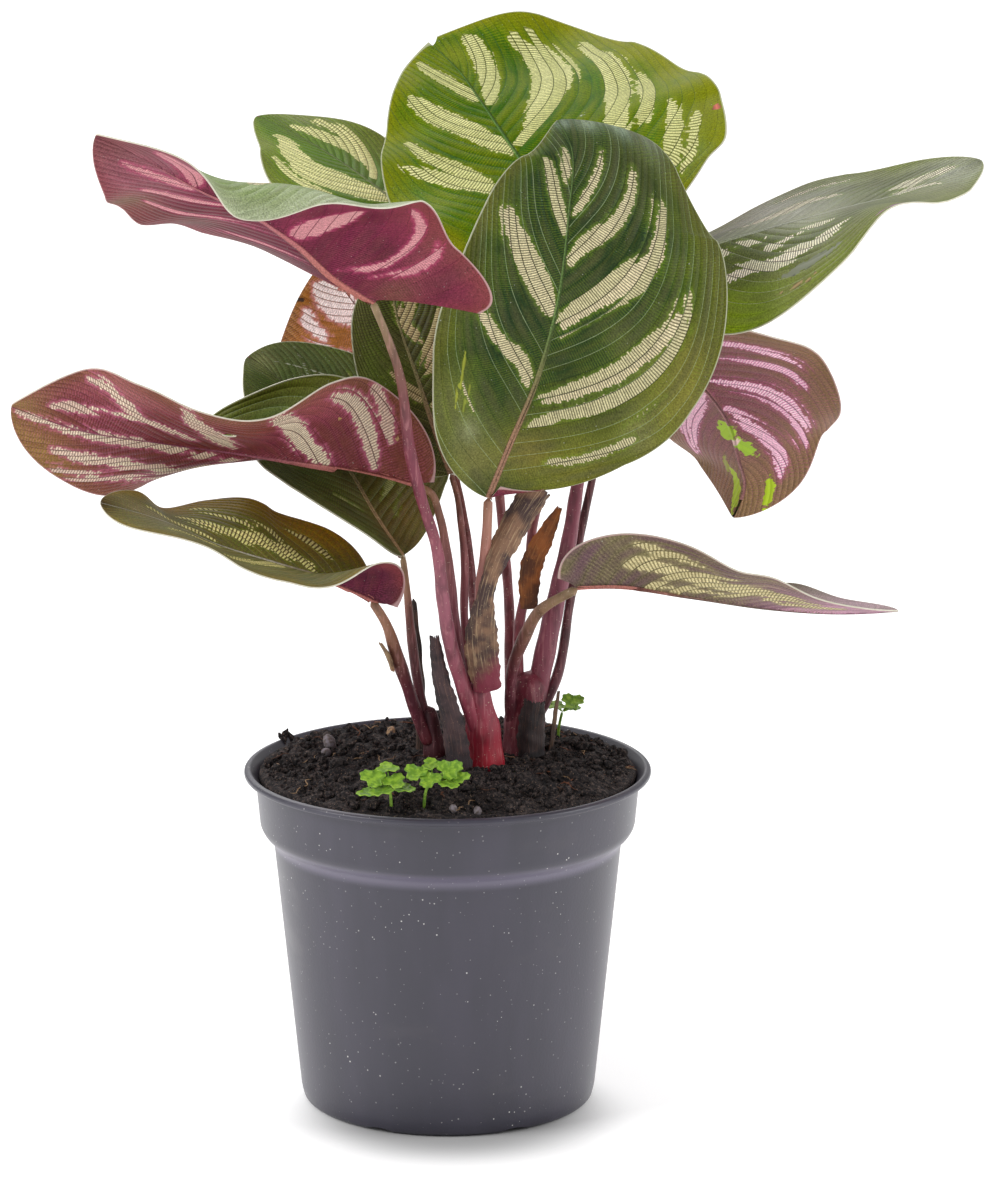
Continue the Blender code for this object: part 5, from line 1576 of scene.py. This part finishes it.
# %% A torn flake on the rim
FLAKE_TURN, FLAKE_RADIUS, FLAKE_FOOT, FLAKE_LONG, FLAKE_HIGH = 146, 57.6, 99.6, 5.5, 3.4

flake, flat = new_grid("rim_flake", 16, 8)
sideways, upwards = flat[:, 0], (flat[:, 1] + 1) / 2
torn_top = 0.6 + 0.4 * np.cos(1.3 * sideways) + 0.14 * np.sin(9 * sideways) + 0.08 * np.sin(23 * sideways)
turn = radians(FLAKE_TURN) + sideways * FLAKE_LONG / 2 / FLAKE_RADIUS
radius = FLAKE_RADIUS + 0.7 * np.sin(4 * sideways + 5 * upwards) + 1.4 * upwards
height = FLAKE_FOOT + FLAKE_HIGH * upwards * torn_top
set_places(flake, np.stack([radius * np.cos(turn), radius * np.sin(turn), height], -1))
flake.data.materials.append(peat_finish)
apply(flake, "SOLIDIFY", thickness=0.5 * MM, offset=0)
smooth_shade(flake, 50)
stands_for(flake, "peat")

# %% [markdown]
# ## Seedlings
# Two tufts of a small weed with three-lobed bright green leaves have come up by the front of the pot and
# one behind the shoots. Each leaflet is a disc whose rim swells into lobes and whose middle is cupped,
# thickened by Solidify.

# %% Seedlings
SEEDLINGS = {  # the stem's path, then each leaflet's place, size in mm and turn in degrees
    "seedling_front_left": (
        [(-16, -50, 97), (-16, -50, 105), (-16.5, -50.5, 109)],
        [((-21, -51, 111), 4.2, 160), ((-15, -51.5, 110), 4.0, 60), ((-19, -54, 108), 4.0, 230),
         ((-12, -52, 108), 3.6, 330), ((-17, -48, 113), 3.8, 100), ((-23, -53, 107), 3.2, 200)],
    ),
    "seedling_front_right": (
        [(-6, -48, 97), (-6, -48, 106), (-4.5, -48.5, 110)],
        [((-9, -49, 112), 3.8, 130), ((-5, -51, 110.5), 4.0, 250), ((1, -49, 113), 4.2, 30),
         ((-4, -46, 113.5), 3.8, 110), ((1, -52, 109.5), 3.4, 310), ((4, -50, 111), 3.0, 10)],
    ),
    "seedling_back": (
        [(33, 22, 97), (33, 22, 107), (34, 21.5, 112)],
        [((37, 21, 115), 3.8, 20), ((32, 20, 114), 3.4, 200), ((37, 24, 112.5), 3.0, 80)],
    ),
}
STEM_TINTS = [(150, 190, 90), (130, 180, 70)]

given = group("weed leaf", Green=(98, 142, 30), Pale=(150, 190, 56), Rough=0.45)
tone = noise(object_place(), 0.7)
weed = close(
    Colour=mix(between(tone, 0.35, 0.7), given["Green"], given["Pale"]),
    Roughness=math("MULTIPLY_ADD", tone, 0.1, given["Rough"]),
    Height=noise(object_place(), 2.0) * 0.2,
)
weed_finish = finish_from("weed leaf", weed)


def leaflet(place, size, degrees):
    choose()
    bpy.ops.mesh.primitive_circle_add(vertices=36, radius=1, fill_type="TRIFAN")
    leaf = new_piece("leaflet")
    with edit_mode("SELECT"):
        bpy.ops.mesh.subdivide(number_cuts=3)
    flat = places_of(leaf) * MM
    radius, angle = np.hypot(flat[:, 0], flat[:, 1]), np.arctan2(flat[:, 1], flat[:, 0])
    lobes = 0.42 + 0.52 * np.abs(np.cos(1.5 * angle)) ** 0.6 + 0.05 * np.cos(12 * angle)
    reach = size * radius * (1 + (lobes - 1) * radius)
    cup = 0.12 * size * radius**2 + 0.03 * size * np.cos(6 * angle) * radius**2
    turned_x, turned_y = reach * np.cos(angle + radians(degrees)), reach * np.sin(angle + radians(degrees))
    tilt = radians(22 + 14 * sin(radians(3 * degrees)))
    y, z = turned_y * cos(tilt) - cup * sin(tilt), turned_y * sin(tilt) + cup * cos(tilt)
    set_places(leaf, np.stack([turned_x, y, z], -1) + np.array(place))
    apply(leaf, "SOLIDIFY", thickness=0.25 * MM, offset=0)
    return leaf


for weed_name, (stem, leaflets) in SEEDLINGS.items():
    parts = [round_tube("stem", stem, (0.5, 0.4), STEM_TINTS, sides=8, step=0.8)]
    for place, size, degrees in leaflets:
        parts.append(round_tube("leaf stalk", [stem[-1], place], (0.35, 0.25), STEM_TINTS, sides=6, step=0.8))
        parts.append(leaflet(place, size, degrees))
    tuft = join(parts, weed_name.replace("seedling", "weed"), weed_finish)
    smooth_shade(tuft, 50)
    stands_for(tuft, "seedling", weed_name)
